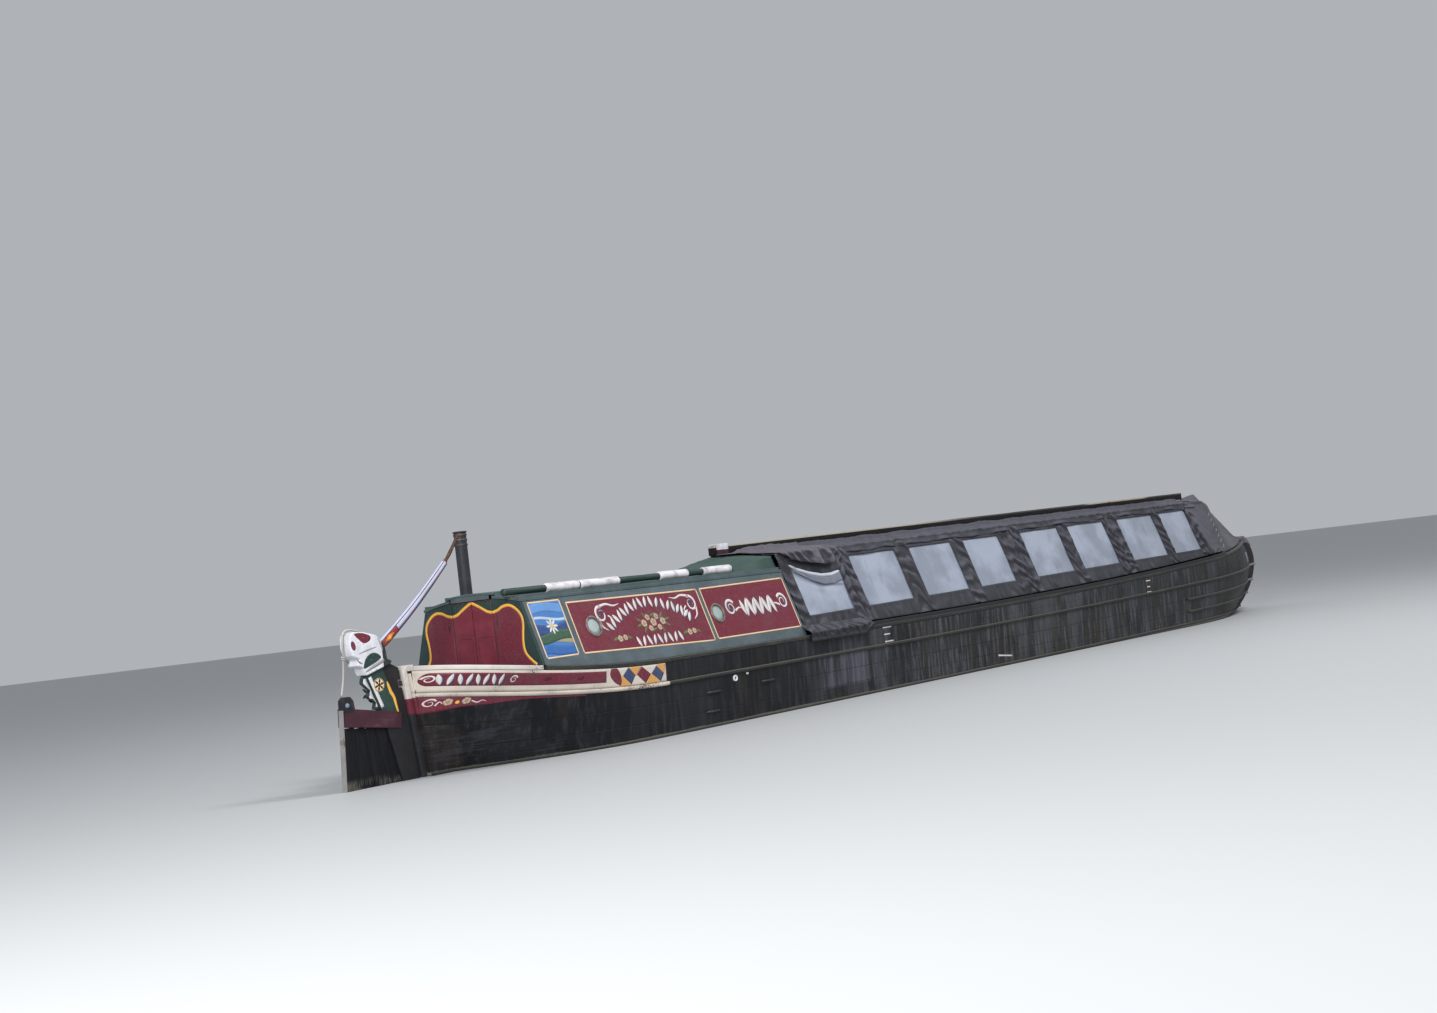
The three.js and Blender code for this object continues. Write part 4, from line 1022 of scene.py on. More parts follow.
def sternBand(hand, side):
    work = Paintwork(offHull, side)
    s, t = fromPost(bandLow, bandHigh, band["fore"], 280, 9)
    work.grid(s, onBand(s, t), "oldWhite")
    start, end = band["stripe"]
    s = mix(start, end, column(190) ** 1.6)
    round_ = np.sqrt(1 - (1 - clamp01((s - start) / 0.045)) ** 2)
    share = mix(0.56 - 0.28 * round_, 0.56 + 0.31 * round_, np.linspace(0, 1, 7))
    work.grid(s, onBand(s, share), "maroon", 1)

    def half(x):
        return float(onBand(x, 0.57))

    # tall strokes with a dark shadow each, and a scroll at both ends
    for k in range(8):
        s0 = 0.19 + 0.07 * k
        turn = 1.35 if k % 2 else 1.8
        work.shadedLeaf(s0, half(s0), 0.112, 0.036, turn, 2, (0.012, -0.006))
    for s0, flip in ((0.8, 1), (0.135, -1)):
        work.scroll(s0, half(s0), 0.075, "pale", 2, turn=0.3, flip=flip, stroke=0.2)
    for s0 in (1.18, 1.6):
        work.disc(s0, half(s0), 0.09, 0.035, "deepMaroon", 2, turn=0.1)
    share = np.linspace(0.05, 1, 13)
    edges = [np.interp(share, lens["share"], lens[edge]) for edge in ("aft", "fore")]
    s = mix(edges[0], edges[1], column(6))
    work.grid(s, onBand(s, np.minimum(share, 0.985)), "maroon", 1)
    u = np.linspace(0, 1, 9)[:, None, None]
    for tint, layer, *corners in sternPatches:
        a, b, c, d = np.array(corners, float)
        place = mix(mix(a, b, u), mix(d, c, u), np.linspace(0, 1, 9)[None, :, None])
        s, share = place[..., 0], np.clip(place[..., 1], 0.015, 0.985)
        work.grid(s, onBand(s, share), tint, layer)
    work.made("stern_band_" + hand, "oldSign", slot="white")


def sternStrip(hand, side):  # maroon under the guard, narrower forward, with a pale scroll and two roses
    work = Paintwork(offHull, side)

    def low(s):
        return np.interp(s, (0.1, 0.2, 0.406, 0.616, 0.965, 1.67), (0.93, 0.935, 0.958, 0.949, 0.951, 0.89))

    def high(s):
        return upperGuard(s) - 0.024

    s, t = fromPost(low, high, 1.69, 140, 7)
    work.grid(s, mix(low(s), high(s), t), "maroon")
    work.scroll(0.165, 1.03, 0.085, "pale", 1, turn=0.4, stroke=0.16)
    work.ribbon([(0.2, 1.0), (0.225, 1.035), (0.25, 1.01)], [0.014, 0.01, 0.004], "pale", 1)
    work.rose(0.286, 1.023, 0.08, 1)
    work.rose(0.428, 1.015, 0.08, 1)
    work.disc(0.357, 1.011, 0.034, 0.034, "gold", 2)
    work.ribbon([(0.47, 1.01), (0.52, 0.985), (0.56, 1.0), (0.6, 0.985)], [0.012, 0.012, 0.008, 0.003],
                "pale", 1)
    work.made("stern_strip_" + hand, "oldSign", slot="maroon")


def smallMarks(hand, side):  # plain short bars and the pale worn panel at the bow
    work = Paintwork(offHull, side)
    bars = ((7.27, 7.47, 1.097), (7.29, 7.43, 1.007), (7.3, 7.5, 0.914),
            (14.93, 15.09, 1.157), (14.95, 15.06, 1.061), (14.93, 15.09, 0.977))
    for x0, x1, z in bars:
        work.grid(np.linspace(x0, x1, 5)[:, None], z + np.linspace(-0.009, 0.009, 3), "pale")
    s = np.linspace(10.11, 10.49, 6)[:, None]
    work.grid(s, 0.457 - 0.103 * (s - 10.11) + np.linspace(-0.011, 0.011, 3), "pale")
    s = np.linspace(20.42, 20.8, 16)[:, None]
    work.grid(s, mix(upperGuard(s) + 0.08, sheer(s) - 0.12, np.linspace(0, 1, 6)), (122, 115, 132), 0)
    work.made("hull_marks_" + hand, "oldSign", slot="white")


def plankEnds(hand, side):  # the same coats on the ends of the planks beside the sternpost
    work = Paintwork(lambda s, t, out: places(plankAft(t) - out, side * s, t))
    y = np.linspace(hull["postHalf"] + 0.001, hull["postHalf"] + hull["plank"] + 0.002, 4)[:, None]
    for low, high, tint in ((1.152, 1.355, "oldWhite"), (1.106, 1.152, "oldWhite"), (0.93, 1.104, "maroon")):
        work.grid(y, np.linspace(low, high, 8), tint, 0)
    work.made("plank_end_paint_" + hand, "oldSign", slot="white")


for hand, side in sides:
    sternBand(hand, side)
    sternStrip(hand, side)
    smallMarks(hand, side)
    plankEnds(hand, side)
print("stern paint made")

# Small timber and iron on the sides: short steps, a round outlet


def plainBar(x0, x1, z, side, high=0.03, out=0.028):  # a short rounded bar on the planks
    a = np.linspace(-math.pi / 2, math.pi / 2, 7)
    t = np.linspace(0, 1, 9)
    ends = np.sqrt(np.maximum(0.02, 1 - np.abs(2 * t - 1) ** 6))[:, None]
    x = mix(x0, x1, t)[:, None]
    return loft(offHull(x, z + high / 2 * np.sin(a) * ends, -0.004 + (out + 0.004) * np.cos(a) * ends, side))


def outlet(x, z, radius, side):  # a short round pipe's rim with a dark mouth
    turn = fullTurn(24)[:, None]
    r = radius * np.array([1.0, 1.0, 0.9, 0.62, 0.55, 0.5])
    out = np.array([-0.004, 0.012, 0.018, 0.017, 0.008, -0.004])
    grid = offHull(x + r * np.cos(turn), z + r * np.sin(turn), out, side)
    return grid.reshape(-1, 3), gridFaces(24, 6, wrapRows=True)


for hand, side in sides:
    steps = [(4.62, 4.89, 0.705), (3.58, 3.86, 0.69), (3.55, 3.82, 0.475)]
    meshObject("hull_steps_" + hand, *merged([plainBar(*step, side) for step in steps]), "black",
               slot="hull_paint")
    rims = merged([outlet(4.13, 0.8, 0.036, side), outlet(4.36, 0.83, 0.013, side)])
    meshObject("outlets_" + hand, *rims, "white", slot="white")

# Posts at both ends, floors, bulkheads and other timber keep their own shape

for node, paint, width, slot in (
    ("sternpost", "post", 0.006, "hull_paint"),
    ("stem", "guard", 0.008, "hull_paint"),
    ("cabin_block", "black", 0.008, "hull_paint"),
    ("front_bulkhead", "sideGreen", 0.003, "cabin_green"),
    ("cabin_roof", "roofGreen", 0.005, "cabin_green"),
    ("cabin_side_starboard", "sideGreen", 0.003, "cabin_green"),
    ("cabin_side_port", "sideGreen", 0.003, "cabin_green"),
    ("rear_bulkhead", "darkGreen", 0.003, "dark_green"),
):
    refined(node, paint, width, slot)
refined("sliding_hatch", "roofGreen", 0.006, "cabin_green", body="hatch")
y = np.linspace(-0.285, 0.285, 13)
low, high = 2.0135 + 0 * y, roofTop(y) + 0.0065
corners = ((1.0935, low), (1.0935, high), (1.1035, high), (1.1035, low))
hatchBoard = loft(np.stack([places(x, y, z) for x, z in corners], 1))
meshObject("hatch_board", *hatchBoard, "roofGreen", body="hatch", slot="cabin_green")
for hand, _ in sides:
    refined("door_" + hand, "maroon", 0.003, "maroon", body=hand + "_door")

keep = {
    "timber": ["bottom_boards", "well_floor", "cabin_floor", "hold_floor", "fore_bulkhead",
               "tilt_frame_1", "tilt_frame_2", "tilt_frame_3", "tilt_frame_4"],
    "deckBoards": ["foredeck"],
    "iron": ["heel_bearing", "upper_gudgeon"],
    "edgeIron": ["rudder_edge_iron"],
}
for paint, names in keep.items():
    for name in names:
        nodes[name].data.materials.clear()
        nodes[name].data.materials.append(paints[paint])

# Cabin side panels

panels = {
    "border": 0.016,
    "first": {"x": (1.77, 3.96), "low": (1.33, 1.26), "high": (1.88, 1.86)},
    "second": {"x": (4.03, 5.645), "low": (1.27, 1.27), "high": (1.86, 1.876)},
    "picture": {"x": (1.2, 1.68), "low": (1.33, 1.33), "high": (1.92, 1.92)},
    "portholes": ((2.06, 1.595), (4.19, 1.56)),
    "cell": 0.0115,
}


def sloped(ends, heights):
    return lambda s: mix(heights[0], heights[1], (s - ends[0]) / (ends[1] - ends[0]))


def boardPanel(work, panel, fill, border, layer=0):
    ends = panel["x"]
    low, high = sloped(ends, panel["low"]), sloped(ends, panel["high"])
    holes = [(x, z, 0.107) for x, z in panels["portholes"]]
    columns = int((ends[1] - ends[0]) / panels["cell"]) + 2
    rows = int((panel["high"][0] - panel["low"][0]) / panels["cell"]) + 2
    work.area(low, high, *ends, fill, layer, columns, rows, holes)
    wide = panels["border"]
    corners = [(s, edge(s)) for s, edge in zip(ends + ends[::-1], (low, low, high, high))]
    for k in range(4):
        a, b = np.array(corners[k]), np.array(corners[(k + 1) % 4])
        along = (b - a) / np.linalg.norm(b - a) * wide / 2
        work.ribbon([a - along, (a + b) / 2, b + along], wide, border, layer + 1, steps=12)


def cabinSigns(hand, side):
    work = Paintwork(onCabin, side)
    boardPanel(work, panels["first"], "maroon", "cream")
    boardPanel(work, panels["second"], "maroon", "cream")
    # a bow of tall strokes over a bunch of roses, a scroll at each upper corner
    bow = smoothPath([(2.27, 1.545), (2.5, 1.667), (2.75, 1.758), (3.04, 1.791), (3.35, 1.731), (3.58, 1.642),
                      (3.73, 1.513)], 10)
    heading = np.gradient(bow, axis=0)
    for k in range(2, len(bow) - 2, 3):
        turn = math.atan2(heading[k, 1], heading[k, 0]) + (1.3 if k % 2 else 1.85)
        work.shadedLeaf(*bow[k], 0.13, 0.045, turn, shadow=(0.012, -0.007))
    for s, t, flip in ((2.24, 1.71, 1), (3.78, 1.71, -1)):
        work.scroll(s, t, 0.18, "pale", 1, turn=1.2, flip=flip, turns=1.4, stroke=0.17)
        work.scroll(s, t - 0.01, 0.1, "navy", 2, turn=0.4, flip=flip, turns=1.1, stroke=0.2)
        reach = [(s, t + 0.088), (s + flip * 0.13, t + 0.105), (s + flip * 0.24, t + 0.08),
                 (s + flip * 0.34, t + 0.095)]
        work.ribbon(reach, [0.03, 0.024, 0.018, 0.005], "pale", 1)
        work.ribbon([(s - flip * 0.07, t - 0.04), (s - flip * 0.04, t - 0.13), (s + flip * 0.03, t - 0.18)],
                    [0.028, 0.024, 0.005], "pale", 1)
        work.ribbon([(s + flip * 0.1, t - 0.02), (s + flip * 0.15, t - 0.06), (s + flip * 0.14, t - 0.11)],
                    [0.02, 0.016, 0.004], "pale", 1)
    bunch(work, 3.03, 1.555, 0.098)
    for s, t in ((2.436, 1.426), (3.611, 1.394)):
        work.leaf(s - 0.1, t, 0.11, 0.034, "leaf", 1, 0.2)
        work.leaf(s + 0.11, t, 0.11, 0.034, "leaf", 1, -0.2)
        work.rose(s - 0.035, t, 0.085, 1)
        work.rose(s + 0.05, t + 0.006, 0.075, 1)
    for k in range(9):  # a short row of strokes under the bunch
        work.shadedLeaf(2.68 + 0.09 * k, 1.366, 0.125, 0.042, 1.25 if k % 2 else 1.9)
    # second panel: a row of tall strokes between two scrolls
    for s, flip in ((4.46, 1), (5.48, -1)):
        work.scroll(s, 1.6, 0.19, "pale", 1, turn=0.6, flip=flip, turns=1.5, stroke=0.16)
        work.scroll(s, 1.6, 0.11, "navy", 2, turn=2.2, flip=flip, turns=1.0, stroke=0.18)
        work.ribbon([(s + flip * 0.07, 1.56), (s + flip * 0.15, 1.59), (s + flip * 0.2, 1.58)],
                    [0.028, 0.02, 0.006], "pale", 1)
    for k, s in enumerate(np.linspace(4.69, 5.27, 9)):
        turn = 1.32 if k % 2 else 1.82
        work.shadedLeaf(s, 1.583, 0.23 if k % 3 else 0.2, 0.062, turn, shadow=(0.014, -0.006))
    work.made("side_panels_" + hand, "sign", slot="maroon")


def bunch(work, s, t, size):  # seven roses in three rows with leaves round them
    for k in range(10):
        turn = 2 * math.pi * k / 10 + 0.2
        work.leaf(s + 0.235 * math.cos(turn), t + 0.085 * math.sin(turn), 0.12, 0.03, "leaf", 1,
                  turn if abs(math.cos(turn)) > 0.4 else 0.3)
    for ds, dt, share in ((-0.16, 0, 1), (0, 0, 1.1), (0.16, 0, 1), (-0.075, 0.06, 0.85), (0.075, 0.06, 0.85),
                          (-0.075, -0.062, 0.8), (0.075, -0.062, 0.8)):
        work.rose(s + ds, t + dt, size * share, 2)


def picturePanel(hand, side):  # a made-up pattern: bands of hills under a sky, and a star flower
    work = Paintwork(onCabin, side)
    panel = panels["picture"]
    boardPanel(work, panel, "sky", "cream")
    (x0, x1), z0, z1 = panel["x"], panel["low"][0], panel["high"][0]
    x0, x1, z0, z1 = x0 + 0.012, x1 - 0.012, z0 + 0.012, z1 - 0.012
    bandsOf = (
        (0.98, 0.8, (92, 140, 196), 0.0), (0.72, 0.67, (176, 190, 206), 0.6), (0.6, 0.4, (44, 70, 120), 1.4),
        (0.44, 0.26, (54, 84, 64), 2.3), (0.34, 0.22, (150, 146, 116), 3.1), (0.2, 0.02, (44, 96, 160), 4.0),
    )
    for k, (high, low, tint, phase) in enumerate(bandsOf):
        def edge(share, shift=phase):
            return lambda s: mix(z0, z1, np.clip(share + 0.035 * np.sin(9 * (s - x0) + shift * 2), 0, 1))
        work.area(edge(low), edge(high), x0, x1, tint, 1 + k % 2, 40, 6)
    centre = ((x0 + x1) / 2, mix(z0, z1, 0.55))
    for k in range(8):
        turn = 2 * math.pi * k / 8
        work.leaf(centre[0] + 0.05 * math.cos(turn), centre[1] + 0.05 * math.sin(turn), 0.08, 0.028,
                  (196, 206, 220) if k % 2 else (214, 206, 176), 3, turn)
    work.disc(*centre, 0.03, 0.03, "gold", 4)
    work.made("landscape_panel_" + hand, "sign", slot="white")


for hand, side in sides:
    cabinSigns(hand, side)
    picturePanel(hand, side)

# Portholes: a turned ring with a domed glass on the leaning side


def turnedOnSide(centre, side, profile, count=56):  # radius and height round the wall's normal
    lean = math.atan(cabin["lean"])
    x, z = centre
    middle = onCabin(x, z, -0.02, side)
    normal = np.array([0, side * math.cos(lean), math.sin(lean)])
    upward = np.array([0, -side * math.sin(lean), math.cos(lean)])
    turn = fullTurn(count)[:, None]
    r, h = np.asarray(profile, float).T
    flat = r * np.cos(turn), r * np.sin(turn)
    grid = middle + flat[0][..., None] * [1, 0, 0] + flat[1][..., None] * upward
    return grid + np.broadcast_to(h, flat[0].shape)[..., None] * normal


ringProfile = [(0.102, -0.004), (0.102, 0.0205), (0.123, 0.0205), (0.123, 0.026), (0.119, 0.032),
               (0.111, 0.034), (0.1, 0.033), (0.096, 0.029), (0.094, 0.012), (0.094, -0.004)]
glassProfile = [(0.0005, 0.02), (0.03, 0.0195), (0.06, 0.017), (0.0938, 0.012), (0.0938, 0.005),
                (0.0005, 0.005)]
for hand, side in sides:
    for number, centre in enumerate(panels["portholes"], 1):
        node = "porthole_%s_%d" % (hand, number)
        ring = closedForm(turnedOnSide(centre, side, ringProfile))
        meshObject(node + "_ring", *ring, "bronze", slot="brass", replaces=[node])
        dome = closedForm(turnedOnSide(centre, side, glassProfile), around=False)
        meshObject(node + "_glass", *dome, "glass", slot="brass")

# Back of the cabin: a gold line with a crest, maroon within it, and the doors carry its middle

crest = [(0, 1.992), (0.07, 1.962), (0.15, 1.922), (0.22, 1.885), (0.3, 1.867), (0.38, 1.885),
         (0.45, 1.915), (0.53, 1.925), (0.6, 1.905), (0.67, 1.855), (0.715, 1.79), (0.725, 1.71),
         (0.71, 1.62), (0.7, 1.53), (0.705, 1.45), (0.735, 1.39), (0.81, 1.32), (0.86, 1.285)]
crestWide = 0.031


def bulkheadPaint():
    work = Paintwork(lambda s, t, out: places(cabin["aft"] - out, s, t))
    outer = smoothPath(crest[4:], 8)
    inner = np.stack([np.full(len(outer), 0.302), np.linspace(1.867, 1.2, len(outer))], -1)
    for side in (-1, 1):
        share = np.linspace(0, 1, 12)[None, :, None]
        fill = mix(inner[:, None], outer[:, None], share)
        work.grid(side * fill[..., 0], fill[..., 1], "maroon")
        border = np.array(crest[4:]) * [side, 1]
        border[0, 0] = side * 0.2995
        work.ribbon(border, crestWide, "gold", 1)
        work.ribbon([(side * 0.36, 1.71), (side * 0.36, 1.76), (side * 0.362, 1.81)], [0.008, 0.018, 0.008],
                    "black", 1)
        work.ribbon([(side * 0.575, 1.5), (side * 0.576, 1.72), (side * 0.575, 1.86)], 0.003, "deepMaroon", 1)
    work.made("crest_paint_bulkhead", "sign", slot="maroon")


def doorPaint(hand, side):
    work = Paintwork(lambda s, t, out: places(cabin["aft"] + 0.002 - out, s, t))
    border = smoothPath(crest[:5], 8)
    border = border[border[:, 0] < 0.296]
    work.ribbon(np.vstack([border[::3], border[-1:]]) * [side, 1] + [side * 0.003, 0], crestWide, "gold", 1)
    above = border * [side, 1] + [side * 0.003, 0]
    fill = mix(above[:, None], np.stack([above[:, 0], np.full(len(above), 2.0)], -1)[:, None],
               np.linspace(0, 1, 5)[None, :, None])
    fill[..., 1] = np.minimum(fill[..., 1], 2.004)
    work.grid(fill[..., 0], fill[..., 1], "green")
    corners = [(0.045, 1.0), (0.255, 1.0), (0.255, 1.62), (0.045, 1.62)]
    for k in range(4):
        a, b = (np.array(corners[i % 4]) * [side, 1] for i in (k, k + 1))
        work.ribbon([a, (a + b) / 2, b], 0.006, "deepMaroon")
    work.made("crest_paint_door_" + hand, "sign", body=hand + "_door", slot="maroon")


bulkheadPaint()
for hand, side in sides:
    doorPaint(hand, side)
print("cabin paint made")

# Roof: lining, chimney and the banded pole


def onRoof(s, t, out):
    s, t = np.broadcast_arrays(s, t)
    return places(s, t, roofTop(t) + out)


work = Paintwork(onRoof)
for y in (-0.672, 0.672):
    work.ribbon([(1.16, y), (3.4, y), (5.6, y)], 0.014, "cream", 0, steps=60)
for x in (1.165, 5.6):
    reach = (0.42, 0.672) if x < 2 else (-0.672, 0.672)
    for flip in (-1, 1) if x < 2 else (1,):
        work.ribbon([(x, flip * y) for y in np.linspace(*reach, 4)], 0.012, "gold", 0, steps=20)
work.made("roof_lining", "oldSign", slot="white")


def turnedUp(x, y, profile, count=56):  # a profile of radius and height round an upright line
    r, z = np.asarray(profile, float).T
    turn = fullTurn(count)[:, None]
    return places(x + r * np.cos(turn), y + r * np.sin(turn), z)


chimney = {"x": 1.55, "y": 0.5, "top": 2.79, "radius": 0.068, "bands": (0.15, 0.095, 0.04)}
foot = float(roofTop(chimney["y"] - 0.088)) + 0.001
r, top = chimney["radius"], chimney["top"]
flue = [(r - 0.008, foot), (0.088, foot), (0.089, foot + 0.016), (0.082, foot + 0.026),
        (r + 0.006, foot + 0.034), (r, foot + 0.05)]
flue += [(r, z) for z in np.linspace(foot + 0.1, top - 0.17, 12)]
flue += [(r, top - 0.02), (r + 0.009, top - 0.014), (r + 0.01, top - 0.004), (r + 0.004, top),
         (r - 0.008, top - 0.004)]
meshObject("chimney_finished", *closedForm(turnedUp(chimney["x"], chimney["y"], flue)), "black",
           slot="hull_paint", replaces=["chimney"])
hoops = []
for drop in chimney["bands"]:
    a = np.linspace(-math.pi / 2, math.pi / 2, 7)
    hoop = [(r - 0.001, top - drop - 0.013)]
    hoop += [(r + 0.007 * math.cos(q) ** 0.5, top - drop + 0.013 * math.sin(q)) for q in a[1:-1]]
    hoop += [(r - 0.001, top - drop + 0.013)]
    hoops.append(closedForm(turnedUp(chimney["x"], chimney["y"], hoop)))
meshObject("chimney_bands", *merged(hoops), "dull", slot="brass")

pole = {
    "from": 0.98, "to": 4.87, "y": -0.6, "thin": 0.037, "thick": 0.052,
    "sleeves": ((1.62, 2.14), (2.16, 2.8), (3.5, 4.01), (4.29, 4.83)),
}


def poleFinish():
    f = Finish("banded pole")
    x, _, _ = f.split()
    fine = f.noise(30.0, 4.0, 0.6, (0.6, 1.0, 1.0))
    patches = f.noise(9.0, 4.0)
    white = 0
    for start, end in pole["sleeves"]:
        white = x.within(start + shift, end + shift, 0.004) + white
    bare = f.blend(patches.above(0.4, 0.7), (220, 218, 222), (182, 176, 180))
    dirt = f.blend((fine * 0.5 + patches * 0.5).above(0.58, 0.64) * 0.5, bare, (134, 112, 96))
    f.tone = f.blend(white, (26, 52, 46), dirt)
    return f.done(fine * 0.3 + 0.35, fine + patches, 0.0022)


x = np.linspace(pole["from"], pole["to"], 500)
radius = np.full(x.shape, pole["thin"])
for start, end in pole["sleeves"]:
    share = clamp01(np.minimum(x - start, end - x) / 0.035)
    radius = np.maximum(radius, pole["thin"] + (pole["thick"] - pole["thin"]) * np.sqrt(1 - (1 - share) ** 2))
radius[[0, -1]] *= 0.4
radius[[1, -2]] *= 0.8
turn = fullTurn(32)
bulge = 1 + 0.035 * ripple(31, x[:, None] * 1.6, np.cos(turn)[None] * 0.3, np.sin(turn)[None] * 0.3)
ring = np.minimum(radius[:, None] * bulge, pole["thick"])
rest = float(roofTop(pole["y"] + 0.01)) + pole["thick"] + 0.001
grid = places(x[:, None], pole["y"] + ring * np.cos(turn), rest + ring * np.sin(turn))
meshObject("roof_pole_finished", *loft(grid), poleFinish(), slot="white", replaces=["roof_pole"])
print("roof made")

# Tilt: side cloths with clear windows, top cloth, ridge beam

tilt = {
    "aft": 5.7, "fore": 18.47, "thick": 0.005, "cell": 0.027,
    "windows": ((5.9, 1.0), (7.22, 1.1), (8.69, 1.08), (10.12, 0.99), (11.76, 1.17), (13.27, 1.2),
                (14.98, 1.29), (16.56, 1.02)),
    "seams": ((7.06, -0.148), (11.56, -0.08), (14.66, -0.16), (17.8, -0.37)),  # place and lean
    # the dip of the cloth over the first window
    "sag": ((5.88, 6.03, 6.25, 6.49, 6.7, 6.9, 7.02), (0, 0.07, 0.135, 0.18, 0.185, 0.155, 0)),
    "hem": 0.0035,
}


def eave(x):
    return 2.15 + 0.0145 * (x - cabin["fore"])


def ridge(x):
    return eave(x) + 0.09


def beamLow(x):
    return ridge(x) + 0.01


def windowLow(x):
    return 1.38 + 0.0139 * (x - 6)


def windowHigh(x):
    return 2.06 + 0.0165 * (x - 7.2)


def tiltFoot(x):
    return gunwaleTop(x) + 0.055


def knots(stops, cell):  # even steps between stops that all stay
    parts = [np.linspace(a, b, max(1, math.ceil((b - a) / cell)) + 1)[:-1] for a, b in zip(stops, stops[1:])]
    return np.concatenate(parts + [[stops[-1]]])


def betweenWindows(x, soft=0.03):  # 1 in the strips between the windows, 0 on them
    on = 0
    for start, width in tilt["windows"]:
        end = start + width
        on = on + smooth(start - soft, start + 0.005, x) * (1 - smooth(end - 0.005, end + soft, x))
    return 1 - clamp01(on)


def tiltFolds(x, z, seed):  # how far the side cloth stands out: cross puckers, gathered seams, slack apron
    level = (z - windowLow(x)) / (windowHigh(x) - windowLow(x))
    strip = betweenWindows(x)
    wander = ripple(seed, x * 1.3, z * 0.9)
    pucker = wave(z / 0.19 + 0.5 * wander + x * 1.5) * 0.013 * strip
    pucker = pucker + wave(z / 0.095 + 0.6 * wander + x * 3) * 0.005 * strip
    pucker = pucker * (1 - 0.8 * smooth(17.7, 17.95, x))
    fold = 0
    for k, (seam, lean) in enumerate(tilt["seams"]):
        spread = 0.13 + 0.07 * smooth(0.2, -0.3, level)
        place = x - seam - lean * (z - 1.65)
        near = hump(place - 0.03 * wander, spread)
        fold = fold + near * wave(place / 0.13 + 0.3 * wander + 0.3 * k) * 0.019
        fold = fold - 0.03 * hump(place, 0.022) * smooth(1.1, 0.2, level)
        fold = fold + near * 0.01 + 0.011 * smooth(0.0, 0.03, place) * np.exp(-np.maximum(place, 0) / 0.3)
    bunch = np.exp(-(((x - 7.08) / 0.11) ** 2) - (((z - 2.06) / 0.13) ** 2))
    fold = fold + bunch * (0.014 + 0.02 * wave((0.9 * x + z) / 0.085 + 0.4 * wander))
    apron = (1 - smooth(-0.25, 0.0, level)) * 0.007 * wave(x / 0.37 + 0.5 * wander)
    taut = 0.004 * ripple(seed + 1, x * 0.8, z * 0.8)
    first = (1 - smooth(6.95, 7.2, x)) * smooth(0.1, -0.2, level)
    first = first * 0.014 * wave(x / 0.2 + 0.6 * wander)
    return pucker + fold + apron + taut + first + 0.004 * strip


def windowHems(x, z):  # the welded border round each clear sheet stands a little proud
    near = 0
    for start, width in tilt["windows"]:
        beside = np.maximum(start - x, x - start - width)
        away = np.maximum(beside, np.maximum(windowLow(x) - z, z - windowHigh(x)))
        near = np.maximum(near, 1 - smooth(0.024, 0.032, np.abs(away)))
    return near * tilt["hem"]


def sagged(x, z):  # the cloth over the first window slips down
    drop = np.interp(x, *tilt["sag"])
    v = (z - windowLow(x)) / (windowHigh(x) - windowLow(x))
    over = 1 - clamp01((z - windowHigh(x)) / (eave(x) - windowHigh(x)))
    return z - drop * np.where(v > 1, over, clamp01(v) ** 1.4)


def facing(points, faces, outward):  # turns faces so that they look the given way
    a, b, c = (points[faces[:, k]] for k in (0, 1, 2))
    look = (np.cross(b - a, c - a) * outward).sum()
    return faces[:, ::-1] if look < 0 else faces


def clothPiece(name, grid, material, outward, thick=0.005, keep=None, fold=None, **where):
    # fold says where the cloth stands out, 1, or lies in a crease, -1; the cloth finishes paint a highlight
    # on the first and shade in the second
    faces = gridFaces(*grid.shape[:2])
    if keep is not None:
        faces = faces[keep.ravel()]
    points = grid.reshape(-1, 3)
    used, renumbered = np.unique(faces, return_inverse=True)
    points, faces = points[used], renumbered.reshape(faces.shape)
    piece = meshObject(name, points, facing(points, faces, np.array(outward)), material, sharp=None, **where)
    if fold is not None:
        layer = piece.data.attributes.new(name="fold", type="FLOAT", domain="POINT")
        layer.data.foreach_set("value", np.clip(fold, -1, 1).ravel()[used])
    cloth = piece.modifiers.new("cloth", "SOLIDIFY")
    cloth.thickness = thick
    cloth.offset = -1
    return piece


def flatArea(grid, keep=True):  # the area of a grid of points, or of the cells kept
    d, e = grid[1:, 1:] - grid[:-1, :-1], grid[1:, :-1] - grid[:-1, 1:]
    return float((np.linalg.norm(np.cross(d, e), axis=-1) * keep).sum() / 2)


